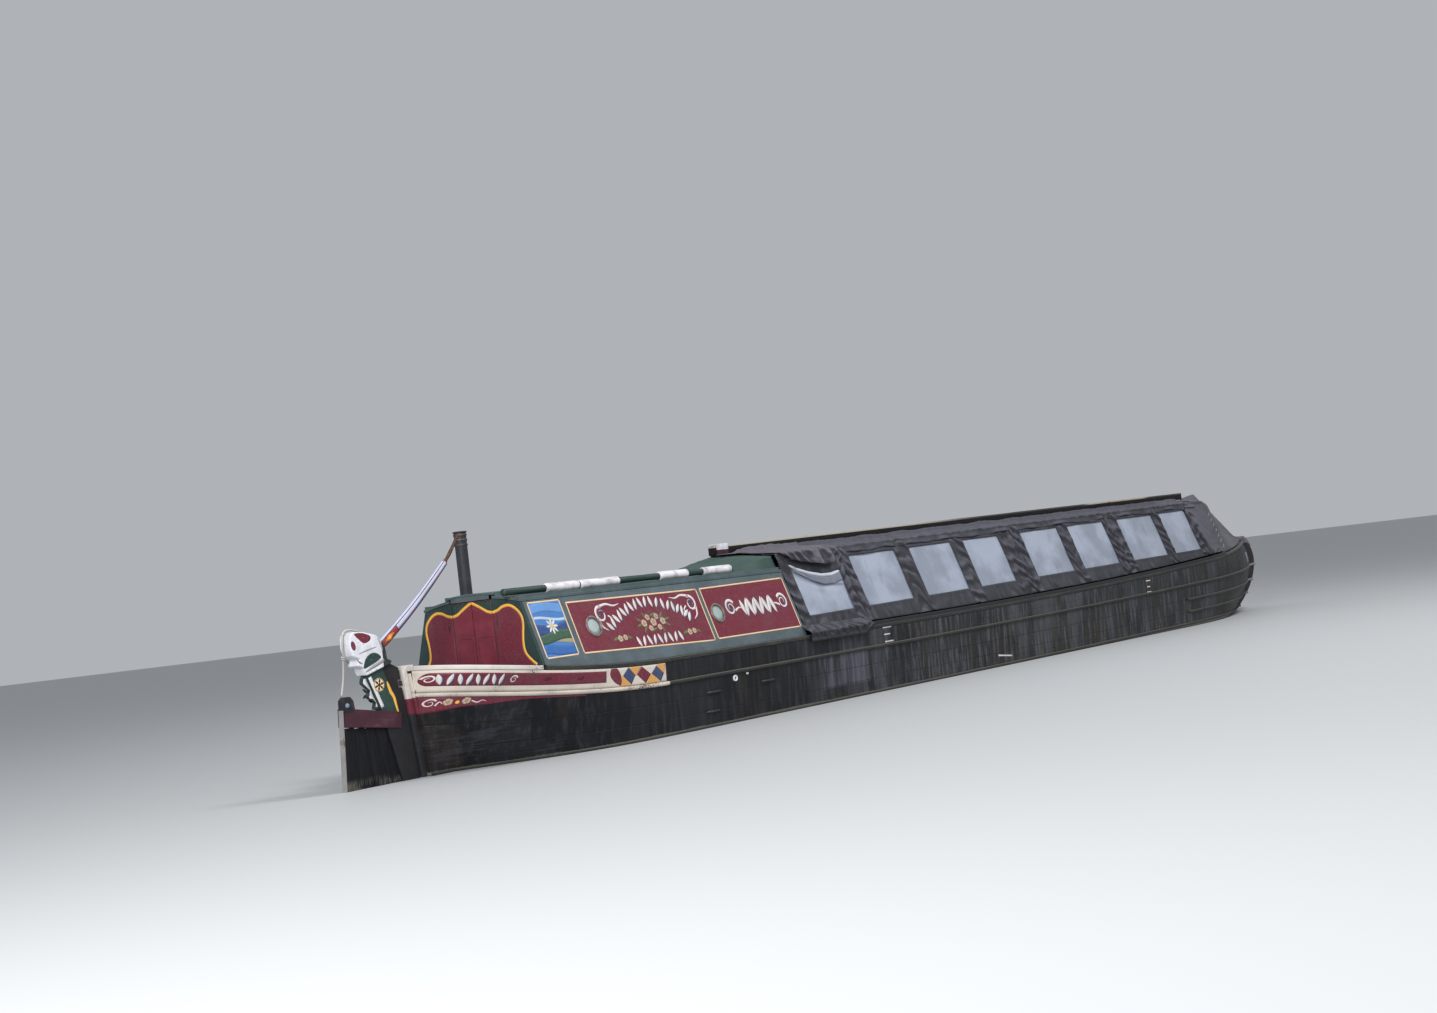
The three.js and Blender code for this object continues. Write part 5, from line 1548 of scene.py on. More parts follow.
def sideCloth(hand, side):
    edges = [v for start, width in tilt["windows"] for v in (start, start + width)]
    x = knots([tilt["aft"], *edges, tilt["fore"]], tilt["cell"])
    rows = [np.linspace(0, 1, n, endpoint=False) + k for k, n in ((0, 10), (1, 27), (2, 5))]
    v = np.concatenate(rows + [[3.0]])
    x, v = lattice(x, v)
    lines = np.stack([tiltFoot(x), windowLow(x), windowHigh(x), eave(x) - 0.002])
    z = between(lines, v)
    folds = tiltFolds(x, z, 11 if side < 0 else 17)
    out = np.clip(folds, -0.0015, 0.036) + windowHems(x, z)
    grid = onCabin(x, sagged(x, z), out, side)
    middleX = (x[1:, 1:] + x[:-1, :-1]) / 2
    middleV = (v[1:, 1:] + v[:-1, :-1]) / 2
    inWindow = np.zeros(middleX.shape, bool)
    for start, width in tilt["windows"]:
        inWindow |= (middleX > start) & (middleX < start + width) & (middleV > 1) & (middleV < 2)
    piece = clothPiece("tilt_cloth_" + hand, grid, "tilt", (0, side, 0.35), tilt["thick"], ~inWindow,
                       folds / 0.028 - 0.25, slot="tilt_cloth", replaces=["tilt_side_" + hand])
    round(flatArea(grid, ~inWindow), 2)
    # the clear sheets: one strip behind the cloth, creased upright
    first, last = tilt["windows"][0][0] - 0.04, sum(tilt["windows"][-1]) + 0.04
    x, v = lattice((first, last, 620), (0, 1, 34))
    z = mix(windowLow(x) - 0.03, windowHigh(x) + 0.02, v)
    crease = 0
    random = np.random.default_rng(23 if side < 0 else 29)
    for place in random.uniform(first, last, 26):
        tilted = x - place - random.normal(0, 0.12) * v
        deep = random.uniform(-0.006, 0.003) * hump(tilted, random.uniform(0.008, 0.02))
        crease = crease + deep * np.sin(math.pi * v) ** 0.5 * smooth(random.uniform(0, 0.6), 0.9, v)
    swell = 0.005 * ripple(41, x * 0.9, z * 1.3, octaves=2)
    slip = (1 - smooth(6.8, 7.0, x)) * smooth(0.35, 0.8, v)
    swell = swell + slip * 0.014 * wave(v * 3.2 + 1.1 * (x - 5.9))
    out = np.clip(crease + swell, -0.012, 0.001 + 0.012 * slip) - tilt["thick"] - 0.0035 - 0.004 * slip
    pane = onCabin(x, sagged(x, z), out, side)
    piece = clothPiece("clear_sheet_" + hand, pane, "clear", (0, side, 0.35), 0.002,
                       slot="clear_sheet", replaces=["window_sheet_" + hand])
    round(last - first, 2)
    if side < 0:
        slippedTop(side)


def slippedTop(side):  # the first window's rolled upper edge, and the sheet folded double under it, grey as the painted shadow of the roll
    x, angle = lattice(np.linspace(5.875, 6.905, 60), fullTurn(14))
    z = windowHigh(x) - np.interp(x, *tilt["sag"]) - 0.018
    ends = np.sqrt(np.maximum(0.05, 1 - np.abs((x - 6.39) / 0.516) ** 8))
    grid = onCabin(x, z + 0.024 * ends * np.sin(angle), 0.004 + 0.011 * ends * np.cos(angle), side)
    meshObject("window_roll", *loft(grid), "hem", slot="clear_sheet", sharp=None)
    # a grey strip hugging the pane: painted shadow under the roll
    x, v = lattice((5.94, 6.9, 50), (0, 1, 6))
    deep = 0.035 + 0.065 * smooth(5.94, 6.5, x)
    z = windowHigh(x) - np.interp(x, *tilt["sag"]) - 0.035 - deep * v
    grid = onCabin(x, z, 0.006 - 0.002 * v + 0.0015 * ripple(43, x * 2, v), side)
    piece = clothPiece("window_fold", grid, "fold", (0, side, 0.35), 0.001, slot="clear_sheet")
    round(flatArea(grid) / 0.96, 2)


def skirt(hand, side):  # the aft end of the side cloth, pulled out over the gunwale's edge to a straight hem
    x, v = lattice((5.66, 7.05, 120), (0, 1, 30))
    wander = ripple(53, x * 1.1, v * 0.4)
    pleat = wave(x / 0.21 + 0.7 * wander + 0.5 * v) * 0.012
    pleat = pleat + wave(x / 0.09 + wander) * 0.004
    pleat = pleat * (1 - 0.8 * smooth(0.7, 0.95, v))
    fall = 1 - 0.85 * smooth(6.8, 7.05, x)
    edge = halfBreadth(x, sheer(x)) + 0.024 + 0.004 * fall
    high = tiltFoot(x) + 0.06
    corner = gunwaleTop(x) + 0.016
    low = mix(gunwaleTop(x) + 0.03, sheer(x) - 0.035, fall)
    y = np.where(v < 0.6, mix(cabinHalf(high) + 0.007, edge, smooth(0, 0.6, v) * 0.45 + v / 0.6 * 0.55), edge)
    z = np.where(v < 0.6, mix(high, corner, v / 0.6), mix(corner, low, (v - 0.6) / 0.4))
    lift = 0.006 + (pleat + 0.008) * smooth(0.05, 0.6, v) + 0.006 * hump(v - 0.93, 0.06)
    grid = places(x, side * (y + lift * 0.8), z + lift * 0.5 * (1 - smooth(0.5, 0.8, v)))
    piece = clothPiece("tilt_skirt_" + hand, grid, "tilt", (0, side, 0.3), 0.004,
                       fold=pleat / 0.03 - 0.4, slot="tilt_cloth")
    round(flatArea(grid) / 1.39, 2)


for hand, side in sides:
    sideCloth(hand, side)
    skirt(hand, side)
print("tilt sides made")


def acrossTop(x, q):
    # a point of the top's cross-section: q is 0 at the ridge, 0.84 at the eave and 1 at the turned-down edge
    half = cabinHalf(eave(x))
    reach = np.interp(q, (0, 0.07, 0.8, 0.86, 0.9, 1), (0, 0.09, 0.985, 1.012, 1.022, 1.05))
    drop = np.interp(q, (0, 0.07, 0.8, 0.86, 0.9, 1), (0.088, 0.088, 0.012, 0.002, -0.016, -0.062))
    return half * reach, eave(x) + 0.004 + drop


def beamRoll(x, y):  # the cloth's rolled edge lies against the beam's side
    return (0.046 + 0.007 * ripple(79, x * 1.7)) * np.exp(-(((np.abs(y) - 0.082) / 0.026) ** 2))


def topCloth():
    across = np.linspace(-1, 1, 81)
    x, q = lattice(np.linspace(tilt["aft"] - 0.01, tilt["fore"] + 0.005, 420),
                       np.sign(across) * np.abs(across) ** 1.25)
    side, q = np.sign(q), np.abs(q)
    y, z = acrossTop(x, q)
    slope = np.sin(math.pi * np.clip((q - 0.07) / 0.75, 0, 1))
    span = [tilt["aft"], 7.06, 11.4, 14.65, 18.1, 18.6]
    place = np.interp(x, span, range(len(span)))
    sag = -0.022 * np.abs(np.sin(math.pi * place)) * slope
    wander = ripple(61, x * 0.9, side * q * 0.8)
    wrinkle = slope * 0.01 * wave(x / 0.31 + 1.3 * q + 0.8 * wander)
    roll = hump(q - 0.81, 0.045) * (0.022 + 0.008 * ripple(67, x * 2.2, side))
    edge = smooth(0.84, 1.0, q)
    flutter = edge * (0.006 + 0.008 * ripple(71, x * 1.6, side))
    z = z + sag + wrinkle + roll + edge * 0.012 * ripple(73, x * 1.1, side) + beamRoll(x, y)
    grid = places(x, side * (y + np.maximum(flutter, 0) + roll * 0.4), z)
    piece = clothPiece("tilt_top_cloth", grid, "tilt", (0, 0, 1), 0.004,
                       fold=(wrinkle + flutter * 0.5) / 0.025 - 0.1, slot="tilt_cloth", replaces=["tilt_top"])


def looseFlap():  # grey cloth from under the beam, over the eave and down to the first window's slack
    u, q = lattice((0, 1, 130), (0, 1, 56))
    x = mix(5.3, 6.955, u)
    start = 0.05
    half = cabinHalf(eave(x)) * 1.035
    slopeLong = np.hypot(half - start, 0.09)
    run = q * np.interp(x, (5.3, 5.6, 5.66, 5.75, 5.85, 6.02, 6.27, 6.6, 6.75, 6.88, 6.96),
                        (0.04, 0.14, 0.4, 0.62, 0.7, 0.76, 0.8, 0.84, 0.83, 0.74, 0.66))
    on = clamp01(run / slopeLong)
    down = np.maximum(0, run - slopeLong)
    wander = ripple(83, x * 1.2, q * 0.7)
    fold = wave((x - 0.1 * q**2) / 0.21 + 0.45 * wander) * (0.004 + 0.026 * q**1.3)
    fold = fold + wave((x + 0.15 * q) / 0.11 + 0.5 * wander) * 0.004 * q
    fold = fold * smooth(5.5, 5.8, x) * (1 - 0.5 * smooth(6.8, 6.95, x))
    hem = 0.005 * smooth(0.93, 0.95, q) * smooth(5.6, 5.9, x)
    over = smooth(-0.06, 0.03, run - slopeLong)
    y = mix(start, half, on) + 0.03 * over + down * 0.3 + (np.maximum(fold, -0.012) + 0.012 + hem) * over
    z = mix(ridge(x) + 0.012, eave(x) + 0.034, on) - down * 0.95
    z = z + (np.maximum(fold, -0.006) + 0.008 + hem) * (1 - over)
    z = z + beamRoll(x, y) * smooth(5.6, 5.72, x)
    z = np.where(y < beam["half"] + 0.008, np.minimum(z, beamLow(x) - 0.004), z)
    grid = places(x + 0.02 * wander * smooth(0.4, 1, q), -y, z)
    piece = clothPiece("loose_flap", grid, "flap", (0, -0.4, 1), 0.004, fold=fold / 0.04,
                       slot="tilt_cloth")
    round(flatArea(grid) / 2.0, 2)


beam = {"aft": 5.28, "fore": 18.85, "half": 0.045, "deep": 0.12, "cream": 0.026}
x = np.linspace(beam["aft"], beam["fore"], 160)
wobble = 0.002 * ripple(91, x * 0.5)
plank = roundedBar(x, np.full(x.shape, -beam["half"]), np.full(x.shape, beam["half"]), beamLow(x),
                   beamLow(x) + beam["deep"] - 0.002 + np.minimum(wobble, 0), 0.006)


def beamFinish():  # dark sides, bare pale wood along the walked top edge towards the bow
    f = Finish("ridge beam", Specular_IOR_Level=0.25)
    x, _, z = f.split()
    grain = f.noise(8.0, 5.0, 0.6, (0.5, 9.0, 9.0))
    patches = f.noise(2.0, 4.0, stretch=(0.6, 1.0, 1.0))
    topEdge = z - (x - shift - cabin["fore"]) * 0.0145 - (2.15 + 0.09 + 0.01 + beam["deep"] - beam["cream"])
    walked = x.below(9.5 + shift, 12.0 + shift) + x.within(15.4 + shift, 17.2 + shift, 0.4)
    bareWood = (patches * 0.5 + grain * 0.5).above(0.34, 0.46) * (walked * 0.85 + 0.15)
    pale = topEdge.above(0.0, 0.003) * bareWood
    f.tone = f.blend(grain.above(0.4, 0.7), (16, 14, 18), (32, 27, 33))
    bare = f.blend(x.within(15.9 + shift, 17.6 + shift, 0.3), (178, 172, 158), (176, 156, 134))
    f.coat(pale * 0.9, bare)
    return f.done(grain * 0.3 + 0.5, grain, 0.002)


meshObject("ridge_beam_finished", *loft(plank), beamFinish(), slot="hull_paint", replaces=["ridge_beam"],
           sharp=50)

# A block round the beam's aft part: two cheeks and a cap, white above a dark red foot
block = {"aft": 5.33, "fore": 5.54, "low": 2.244, "high": 2.385, "half": 0.066}
blockPaint = partedPaint("beam block", (62, 30, 42), (lambda x, z: z.above(2.31, 2.313), (212, 208, 214)),
                         gloss=0.4, scale=14.0, deep=0.001)
x = np.array([0.0, 0.004, 0.206, 0.21]) + block["aft"]
half, cap = beam["half"] + 0.001, float(beamLow(block["fore"])) + beam["deep"]
cheeks = ((-block["half"], -half, block["low"]), (half, block["half"], block["low"]), (-half, half, cap))
forms = [loft(roundedBar(x, inner, outer, low, block["high"], 0.004)) for inner, outer, low in cheeks]
meshObject("beam_block", *merged(forms), blockPaint, slot="white", sharp=50)

greenCloth = {"aft": 4.38, "fore": 5.696, "half": 0.6}


def roofDrape():  # green cloth from the beam's aft end down to the roof
    x, share = lattice((greenCloth["aft"], greenCloth["fore"], 90), (-1, 1, 71))
    rise = clamp01((x - greenCloth["aft"]) / (beam["aft"] - 0.04 - greenCloth["aft"]))
    peak = mix(roofTop(0) + 0.008, beamLow(beam["aft"]) - 0.012, rise ** 0.8)
    y = share * greenCloth["half"] * (1 - 0.12 * (1 - rise))
    wander = ripple(97, x * 1.1, share)
    slope = mix(peak, roofTop(y) + 0.005, np.abs(share) ** 0.96)
    belly = -0.012 * np.sin(math.pi * np.abs(share)) * rise
    crease = 0.005 * wave(np.abs(share) * 1.2 + x * 1.6 + 0.6 * wander) * rise * (1 - np.abs(share))
    z = np.maximum(roofTop(y) + 0.0055, slope + belly + crease)
    # towards the tilt it takes the shape of the first frame
    away, half = np.abs(share), cabinHalf(eave(x))
    over, corner, edge = clamp01(away / 0.8) * 0.59, clamp01((away - 0.8) / 0.2), 0.655
    drop = np.interp(over / half, (0, 0.09, 0.985), (0.088, 0.088, 0.012))
    framed = mix(eave(x) - 0.01 + drop, roofTop(edge) + 0.006, corner)
    blend = smooth(4.9, 5.6, x)
    y = mix(y, np.sign(share) * (over + (edge - 0.59) * corner), blend)
    z = mix(z, framed, blend)
    nearBlock = (x > 5.325) & (x < 5.56)
    z = np.where(nearBlock & (np.abs(y) < 0.09), np.maximum(z, beamLow(beam["aft"]) - 0.012), z)
    grid = places(x, y, np.minimum(z, beamLow(x) - 0.012))
    middle = (grid[1:, 1:] + grid[:-1, :-1]) / 2
    hole = (middle[..., 0] > 5.315) & (middle[..., 0] < 5.56) & (np.abs(middle[..., 1]) < 0.092)
    piece = clothPiece("green_cloth_draped", grid, "greenCloth", (0, 0, 1), 0.003, ~hole,
                       slot="green_cloth", replaces=["green_cloth"])


def deckHeight(x, share):
    return sheer(x) + 0.045 + 0.11 * (1 - share**2)


def coverRidge(x):
    peak, end, step = 19.45, 21.0, 18.856
    fall = mix(2.5206, float(gunwaleTop(end)) + 0.12, clamp01((x - peak) / (end - peak)))
    return mix(float(ridge(18.85)) + 0.002, fall, smooth(step, step + 0.11, x))


def foreCover():  # two slopes from the ridge line down to a hemmed foot inside the gunwales
    x, share = lattice((18.49, 21.0, 150), (-1, 1, 81))
    foot = gunwaleInner(x) + 0.055
    away = np.abs(share)
    slope = mix(coverRidge(x), gunwaleTop(x) + 0.014, away)
    # its aft part takes the tilt's shape: a shallow top, a corner at the eave, leaning sides
    stops, end = (0, 0.07, 0.42, 1), tilt["fore"]
    corner, cornerTop, down = 0.985 * cabinHalf(eave(end)), eave(end) + 0.014, (away - 0.42) / 0.58
    framedHalf = np.interp(away, stops, (0, 0.06, corner, 0))
    framedHalf = np.where(down > 0, mix(corner, foot, down), framedHalf)
    framed = np.interp(away, stops, (ridge(end) + 0.002, ridge(end) + 0.002, cornerTop, 0))
    framed = np.where(down > 0, mix(cornerTop, gunwaleTop(x) + 0.014, down), framed)
    blend = 1 - smooth(18.5, 19.6, x)
    half = mix(foot * away, framedHalf, blend)
    slope = mix(slope, framed, blend)
    wander = ripple(101, x * 0.7, share * 1.2)
    belly = -0.028 * np.sin(math.pi * away) * smooth(21.0, 20.2, x) * (1 - blend)
    crease = 0.011 * wave((x - 18.4) * 1.7 - away * 1.9 + 0.5 * wander) * np.sin(math.pi * away)
    gather = 0.006 * wave(x / 0.14 + 0.4 * wander) * smooth(0.8, 0.98, away)
    hem = 0.004 * (smooth(0.925, 0.935, away) - smooth(0.985, 0.999, away))
    seam = 0.004 * hump(x - 18.6, 0.02) + 0.003 * (1 - smooth(0.0, 0.02, away))
    z = slope + belly + crease + gather + hem + seam
    z = np.maximum(z, deckHeight(x, share * 0.98) + 0.02 + 0.4 * (hem + crease))
    grid = places(x, half * np.sign(share), z)
    piece = clothPiece("fore_cover_cloth", grid, "cover", (0, 0, 1), 0.004, slot="tilt_cloth",
                       replaces=["fore_cover"])
    round(flatArea(grid), 2)
    # lacing between the cover and the side cloths
    for hand, side in sides:
        ties = []
        for k in range(7):
            z0 = 1.52 + 0.095 * k
            ends = onCabin(np.array([18.44, 18.5, 18.53]), np.array([z0, z0 + 0.02, z0 + 0.05]),
                           np.array([0.008, 0.014, 0.006]), side)
            ties.append(loft(sweptRing(smoothPath(ends, 6), 0.003, 6, (0, side, 0.35))))
        meshObject("cover_ties_" + hand, *merged(ties), "rope", slot="rope")


topCloth()
roofDrape()
looseFlap()
foreCover()
print("tilt top and covers made")

# Rudder: stock, planked blade, carved head, rope and tiller

rudder = {"stock": 0.045, "head": 0.08, "blade": 0.032, "planks": 4, "gap": 0.004}
refined("rudder_stock", "stock", 0.007, "dark_green", 3, body="rudder")
refined("rudder_top_plank", "plank", 0.008, "maroon", 3, body="rudder")
refined("rams_head", "head", 0.016, "white", 4, body="rudder")


def bladeAft(z):
    return -0.857 + 0.06 * clamp01((z - draught) / 0.8)


def bladeFore(z):
    return mix(-0.306, -0.087, (1.0 - z) / 0.905) - 0.006


def bladeBoards():  # upright boards side by side between the stock and the aft edge
    forms = []
    for k in range(rudder["planks"]):
        a, b = k / rudder["planks"], (k + 1) / rudder["planks"]
        z = np.linspace(0.112, 1.0, 40)
        fore, aft = bladeFore(z), bladeAft(z)
        first = mix(aft, fore, a) + rudder["gap"] / 2
        last = mix(aft, fore, b) - rudder["gap"] / 2
        top = mix(0.912, 0.838, np.clip((first + last + 1.6) / 1.4, 0, 1))
        z = np.minimum(z, top.max())
        half = rudder["blade"] - 0.003 * (k % 2)
        x, y = rounded(first[:, None], last[:, None], -half, half, 0.006)
        forms.append(loft(places(x, y, z[:, None])[: int((z < top.max()).sum()) + 1]))
    points, faces = merged(forms)
    meshObject("rudder_blade_boards", points, faces, bladeFinish(), body="rudder", slot="hull_paint",
               replaces=["rudder_blade"], sharp=50)


def bladeFinish():
    f = Finish("rudder boards", Specular_IOR_Level=0.2)
    _, _, z = f.split()
    grain = f.noise(5.0, 5.0, 0.6, (14.0, 9.0, 0.6))
    patches = f.noise(4.0, 5.0)
    f.tone = f.blend(grain.above(0.4, 0.72), (12, 12, 16), (25, 26, 32))
    mud = z.below(0.34, 0.42) * (patches * 0.6 + grain * 0.4).above(0.48, 0.6)
    f.coat(mud * 0.5, (112, 108, 98))
    return f.done(grain * 0.3 + 0.45, grain, 0.0025)


bladeBoards()


def onFlat(half, side):
    return lambda s, t, out: places(s, side * (half + out), t)


def finEdge(z):  # the stock's aft edge, and the fin's beyond it
    fin = np.interp(z, (1.03, 1.052, 1.12, 1.176, 1.244, 1.322, 1.38),
                    (-0.29, -0.392, -0.372, -0.462, -0.432, -0.516, -0.5))
    return -0.306 - 0.412 * (z - 1), fin


def stockPaint(hand, side):
    work = Paintwork(onFlat(rudder["stock"], side))
    work.ribbon([(finEdge(z)[0] + 0.03, z) for z in (1.375, 1.22, 1.06)], [0.042, 0.042, 0.04], "white")
    gold = [(-0.213, 1.31), (-0.2, 1.27), (-0.176, 1.2), (-0.142, 1.14), (-0.116, 1.03), (-0.09, 0.92)]
    work.ribbon(gold, [0.006, 0.03, 0.038, 0.034, 0.026, 0.012], "gold")
    s, t = -0.318, 1.285
    work.disc(s, t, 0.14, 0.14, "cream", 1)
    work.disc(s, t, 0.034, 0.034, "black", 2, cells=6)
    for k in range(6):
        turn = math.pi * k / 3 + 0.3
        work.leaf(s + 0.038 * math.cos(turn), t + 0.038 * math.sin(turn), 0.05, 0.022, "black", 2, turn)
    ring = [(s + 0.064 * math.cos(q), t + 0.064 * math.sin(q)) for q in fullTurn(16)]
    work.ribbon(ring, 0.005, "black", 2, closed=True)
    work.made("stock_paint_" + hand, "sign", body="rudder", slot="white")
    fins = Paintwork(onFlat(0.022, side))
    z = np.linspace(1.07, 1.365, 30)
    edge, fin = finEdge(z)
    s = mix(edge - 0.006, np.minimum(fin + 0.012, edge - 0.01), column(4))
    fins.grid(s, z, "white")
    for s, t, turn in ((-0.4, 1.14, 2.4), (-0.455, 1.245, 2.4), (-0.46, 1.19, 0.6)):
        fins.leaf(s, t, 0.07, 0.024, "black", 1, turn)
    fins.made("fin_paint_" + hand, "sign", body="rudder", slot="white")


def filled(work, outline, tint, layer=0):  # a patch inside a closed outline
    edge = smoothPath(outline, 6, closed=True)
    middle = edge.mean(0)
    fill = middle + (edge[:, None] - middle) * np.linspace(0.04, 1, 6)[None, :, None]
    work.grid(fill[..., 0], fill[..., 1], tint, layer)


def headPaint(hand, side):
    work = Paintwork(onFlat(rudder["head"], side))
    filled(work, [(-0.517, 1.466), (-0.51, 1.517), (-0.483, 1.563), (-0.435, 1.598), (-0.375, 1.612),
                  (-0.315, 1.59), (-0.289, 1.55), (-0.4, 1.5)], "green")
    filled(work, [(-0.6, 1.815), (-0.55, 1.76), (-0.485, 1.715), (-0.41, 1.735), (-0.395, 1.775),
                  (-0.45, 1.805), (-0.53, 1.822)], "maroon")
    work.disc(-0.626, 1.702, 0.055, 0.095, "maroon", 0, turn=0.25)
    # grey strokes on the white carving: painted shade under its lobes, along the bar and in its hollows
    work.ribbon([(-0.506, 1.432), (-0.37, 1.487), (-0.25, 1.527)], [0.012, 0.042, 0.03], (150, 148, 152), 1)
    work.ribbon([(-0.57, 1.615), (-0.45, 1.645), (-0.33, 1.665)], [0.006, 0.018, 0.006], (150, 150, 160), 0)
    work.ribbon([(-0.3, 1.75), (-0.27, 1.68), (-0.255, 1.62)], [0.008, 0.02, 0.008], (150, 150, 160), 0)
    work.ribbon([(-0.53, 1.515), (-0.57, 1.535), (-0.6, 1.57)], [0.006, 0.016, 0.006], (120, 118, 126), 0)
    work.made("head_paint_" + hand, "sign", body="rudder", slot="maroon")


for hand, side in sides:
    stockPaint(hand, side)
    headPaint(hand, side)

knob = [(0.0005, 0.016), (0.014, 0.0145), (0.022, 0.009), (0.026, 0.0), (0.026, -0.004), (0.0005, -0.004)]
turn = fullTurn(32)[:, None]
r, h = np.array(knob).T
for hand, side in sides:
    grid = places(-0.749 + r * np.cos(turn), side * (0.04 + h), 1.129 + r * np.sin(turn))
    meshObject("block_boss_" + hand, *closedForm(grid, around=False), "boss", body="rudder",
               slot="guard_iron")


rope = {
    "path": ((-0.48, 1.842), (-0.6, 1.862), (-0.668, 1.838), (-0.69, 1.74), (-0.7, 1.6), (-0.728, 1.4),
             (-0.772, 1.232)),
    "diameter": 0.02,
    "lay": 0.07,  # length of one turn of a strand
}
path = smoothPath([(x, 0, z) for x, z in rope["path"]], 44)


def strands(along, angle):  # three strands that wind round each other
    wound = angle - 2 * math.pi * along / rope["lay"]
    return rope["diameter"] / 2 * (0.8 + 0.2 * np.abs(np.cos(1.5 * wound)) ** 0.6)


ropePiece = meshObject("head_rope_laid", *loft(sweptRing(path, strands, 24)), "rope", body="rudder",
                       slot="rope", replaces=["head_rope"], sharp=None)
ropeLong = float(np.linalg.norm(np.diff(path, axis=0), axis=1).sum())
knot = []
for z, x in ((1.602, -0.7), (1.586, -0.7015)):
    angle = np.linspace(0, 2 * math.pi, 40)
    coil = places(x + 0.016 * np.cos(angle), 0.016 * np.sin(angle), z + 0.006 * np.sin(angle))
    knot.append(closedForm(sweptRing(coil[:-1], 0.007, 12, (0, 0, 1))))
whipping = meshObject("rope_whipping", *merged(knot), "rope", body="rudder", slot="rope")
route = [tuple(p + [shift, 0, 0]) for p in path[::8]]
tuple(route[0])

# Tiller: a tapered square bar with painted faces, then a turned handle that bends up

tiller = {"root": (-0.227, 1.658), "tilt": math.atan2(0.792, 1.024), "bow": 0.025}
stops = np.array([(-0.04, 0.033), (0.12, 0.039), (1.29, 0.027), (1.31, 0.019), (1.5, 0.017), (1.655, 0.015)])
alongTiller = np.array([math.cos(tiller["tilt"]), 0, math.sin(tiller["tilt"])])
overTiller = np.array([-math.sin(tiller["tilt"]), 0, math.cos(tiller["tilt"])])
tillerRoot = np.array([tiller["root"][0], 0, tiller["root"][1]])


def onTiller(distance, rise, across):
    distance, rise, across = np.broadcast_arrays(distance, rise, across)
    rise = rise - tiller["bow"] * np.sin(math.pi * np.clip(distance / 1.3, 0, 1.2))
    return (tillerRoot + distance[..., None] * alongTiller + rise[..., None] * overTiller
            + across[..., None] * np.array([0, 1, 0]))


d = np.linspace(stops[0, 0], 1.292, 60)[:, None]
half = np.interp(d, stops[:, 0], stops[:, 1])
across, rise = rounded(-half, half, -half, half, 0.006)
meshObject("tiller_bar", *loft(onTiller(d, rise, across)), "maroon", body="rudder", slot="white",
           replaces=["tiller"], sharp=50)

d = np.linspace(1.285, 1.655, 60)
handle = np.interp(d, (1.285, 1.3, 1.33, 1.42, 1.5, 1.6, 1.64, 1.655),
                   (0.024, 0.026, 0.017, 0.02, 0.017, 0.014, 0.017, 0.009))
lift = 0.062 * smooth(1.3, 1.9, d) / float(smooth(1.3, 1.9, np.array(1.655)))
meshObject("tiller_handle", *loft(sweptRing(onTiller(d, lift, 0 * d), handle[:, None], 20)), "wood",
           body="rudder", slot="white", sharp=50)


def tillerPaint():
    def face(normal):  # t runs across the face from -1 to 1
        def onto(s, t, out):
            wide = np.interp(s, stops[:, 0], stops[:, 1])
            if normal == "over":
                return onTiller(s, wide + out, t * (wide - 0.006))
            return onTiller(s, t * (wide - 0.006), (wide + out) * normal)
        return onto

    over = Paintwork(face("over"))
    s = np.linspace(0.05, 1.285, 50)[:, None]
    over.grid(s, np.linspace(-1, 1, 4), (196, 204, 224), 0)
    over.ribbon([(0.08, 0.55), (0.6, 0.6), (1.27, 0.62)], 0.3, (160, 172, 204), 1, steps=20)
    over.made("tiller_paint_over", "sign", body="rudder", slot="white")
    for hand, side in sides:
        work = Paintwork(face(side))
        s = np.linspace(0.3, 1.285, 50)[:, None]
        work.grid(s, mix(-0.35 + 0.08 * np.sin(9 * s), 1, np.linspace(0, 1, 4)), (192, 198, 220), 0)
        work.grid(s, mix(-0.95, -0.35 + 0.08 * np.sin(9 * s), np.linspace(0, 1, 3)), "navy")
        work.grid(np.linspace(0.0, 0.3, 8)[:, None], np.linspace(-1, 1, 4), (132, 44, 46), 0)
        for k in range(5):
            work.leaf(0.42 + 0.18 * k, -0.62, 0.1, 0.3, "maroon", 1)
        u, v = lattice((0, 1, 6), (0, 1, 6))
        work.grid(0.15 + (u - v) * 0.085, (u + v - 1) * 0.95, "orange", 1)
        work.grid(0.15 + (u - v) * 0.045, (u + v - 1) * 0.5, "gold", 2)
        work.made("tiller_paint_" + hand, "sign", body="rudder", slot="white")


tillerPaint()
print("rudder made")

# Floor at the waterline, with the hull's own outline left open


def waterFloor():
    t = np.linspace(0, 1, 160)
    t = t - 0.8 * wave(t) / (2 * math.pi)
    z = np.full(t.shape, draught)
    x = mix(plankAft(z) + 0.02, plankFore(z) - 0.02, t)
    side = offHull(x, z, -0.02)
    rim = np.concatenate([side, side[::-1] * [1, -1, 1]])
    rim[:, 0] += shift
    angle = np.arctan2(rim[:, 1] / 1.1, rim[:, 0] / 11)
    reach = 260
    rings = [rim]
    for grow in (0.02, 0.1, 0.4, 1.0):
        circle = places(reach * np.cos(angle), reach * np.sin(angle), np.full(angle.shape, draught))
        rings.append(mix(rim, circle, grow**1.5))
    grid = np.stack(rings)
    faces = gridFaces(*grid.shape[:2], wrapColumns=True)
    points = grid.reshape(-1, 3)
    mesh = bpy.data.meshes.new("floor")
    mesh.from_pydata(points.tolist(), [], faces.tolist())
    mesh.update()
    if mesh.polygons[0].normal.z < 0:
        mesh.flip_normals()
    floor = bpy.data.objects.new("floor", mesh)
    bpy.context.scene.collection.objects.link(floor)
    mesh.materials.append(Finish("pale floor", Base_Color=(0.46, 0.47, 0.48, 1), Roughness=0.6).material)
    floor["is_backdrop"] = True


waterFloor()

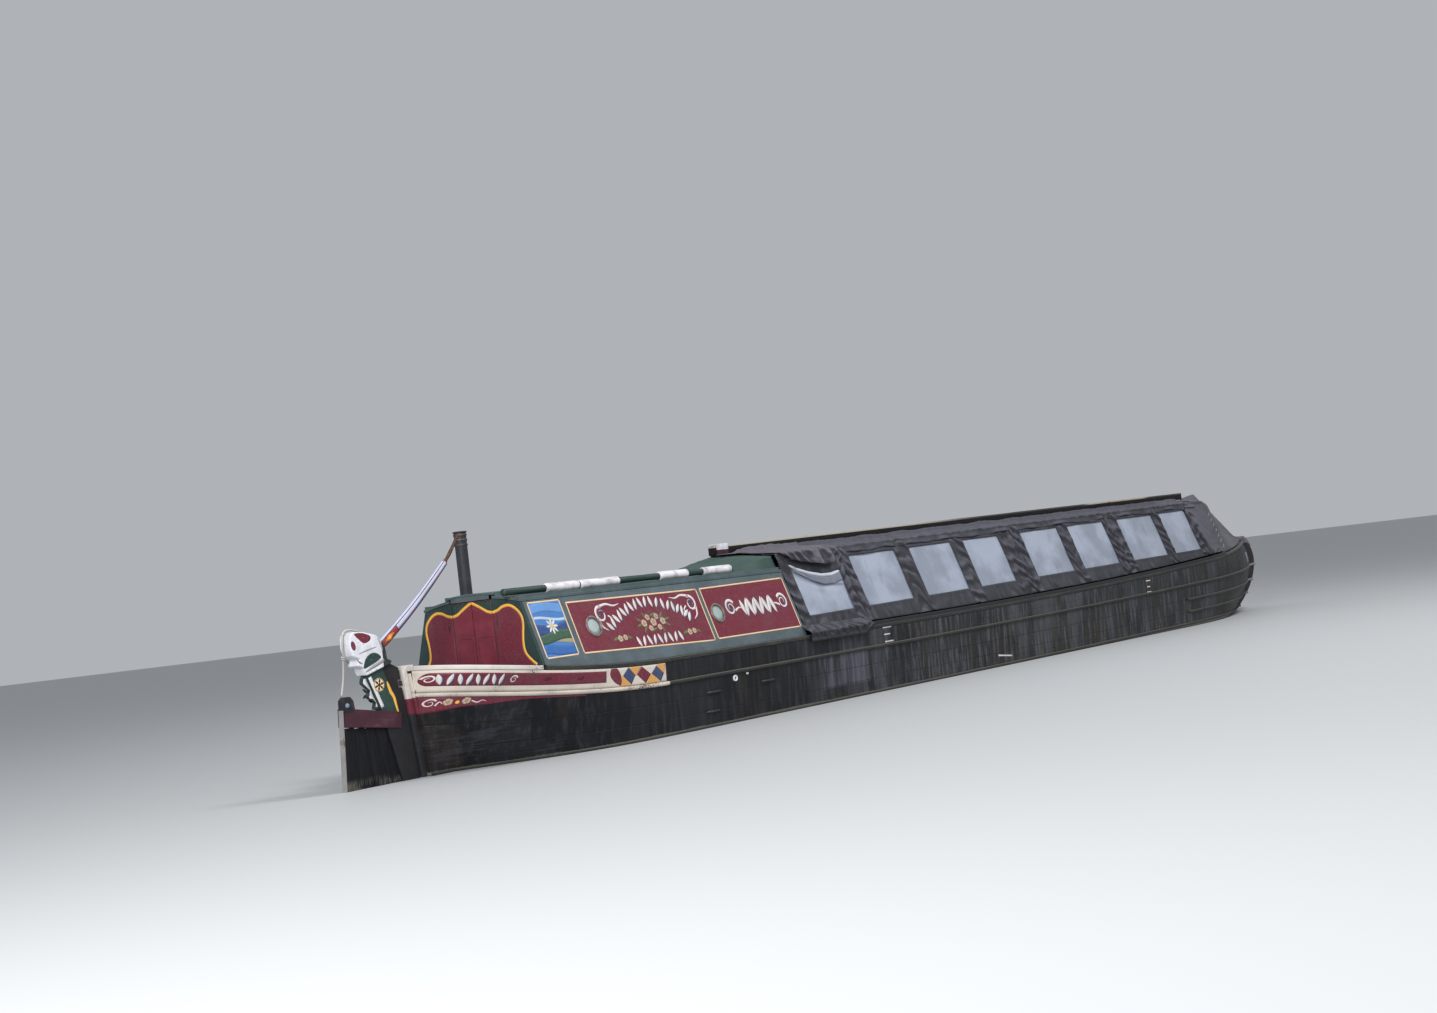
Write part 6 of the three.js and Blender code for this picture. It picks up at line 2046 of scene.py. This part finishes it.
# Light: a pale sky and two large soft lamps

studio = {
    "sky": (0.86, 0.9, 0.95),
    "skyStrength": 0.5,
    "lamps": [  # place, size and power; each looks at the boat
        {"place": (2, -12, 22), "size": 7, "watts": 3700},
        {"place": (-24, -10, 10), "size": 6, "watts": 3300},
    ],
}
world = bpy.data.worlds.new("sky")
bpy.context.scene.world = world
world.use_nodes = True
world.node_tree.nodes["Background"].inputs["Color"].default_value = studio["sky"] + (1,)
world.node_tree.nodes["Background"].inputs["Strength"].default_value = studio["skyStrength"]
for number, lamp in enumerate(studio["lamps"]):
    data = bpy.data.lights.new("soft lamp %d" % number, "AREA")
    data.size = lamp["size"]
    data.energy = lamp["watts"]
    light = bpy.data.objects.new(data.name, data)
    light.location = lamp["place"]
    light.rotation_euler = (Vector((0, 0, 0.8)) - light.location).to_track_quat("-Z", "Y").to_euler()
    bpy.context.scene.collection.objects.link(light)

bpy.context.scene.view_settings.view_transform = "Standard"

# Camera: fitted to the photo

camera = {
    "place": (-23.570, -14.5943, 1.8287),
    "yaw": 0.9087,
    "pitch": 0.0429,
    "roll": -0.1187,
    "lens": 48.03,
}
yaw, pitch, roll = (camera[key] for key in ("yaw", "pitch", "roll"))
forward = Vector((math.sin(yaw) * math.cos(pitch), math.cos(yaw) * math.cos(pitch), math.sin(pitch)))
level = Vector((math.cos(yaw), -math.sin(yaw), 0))
upright = level.cross(forward)
right = math.cos(roll) * level + math.sin(roll) * upright
up = math.cos(roll) * upright - math.sin(roll) * level
lens = bpy.data.cameras.new("camera")
lens.lens = camera["lens"]
lens.sensor_width = 36
lens.clip_start = 0.1
lens.clip_end = 800
eye = bpy.data.objects.new("camera", lens)
bpy.context.scene.collection.objects.link(eye)
eye.matrix_world = Matrix.Translation(camera["place"]) @ Matrix((right, up, -forward)).transposed().to_4x4()
bpy.context.scene.camera = eye

low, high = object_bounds()
{"cad": [list(cadLow), list(cadHigh)], "visual": [list(low), list(high)]}
print("visual box", [round(v, 3) for v in (*low, *high)])
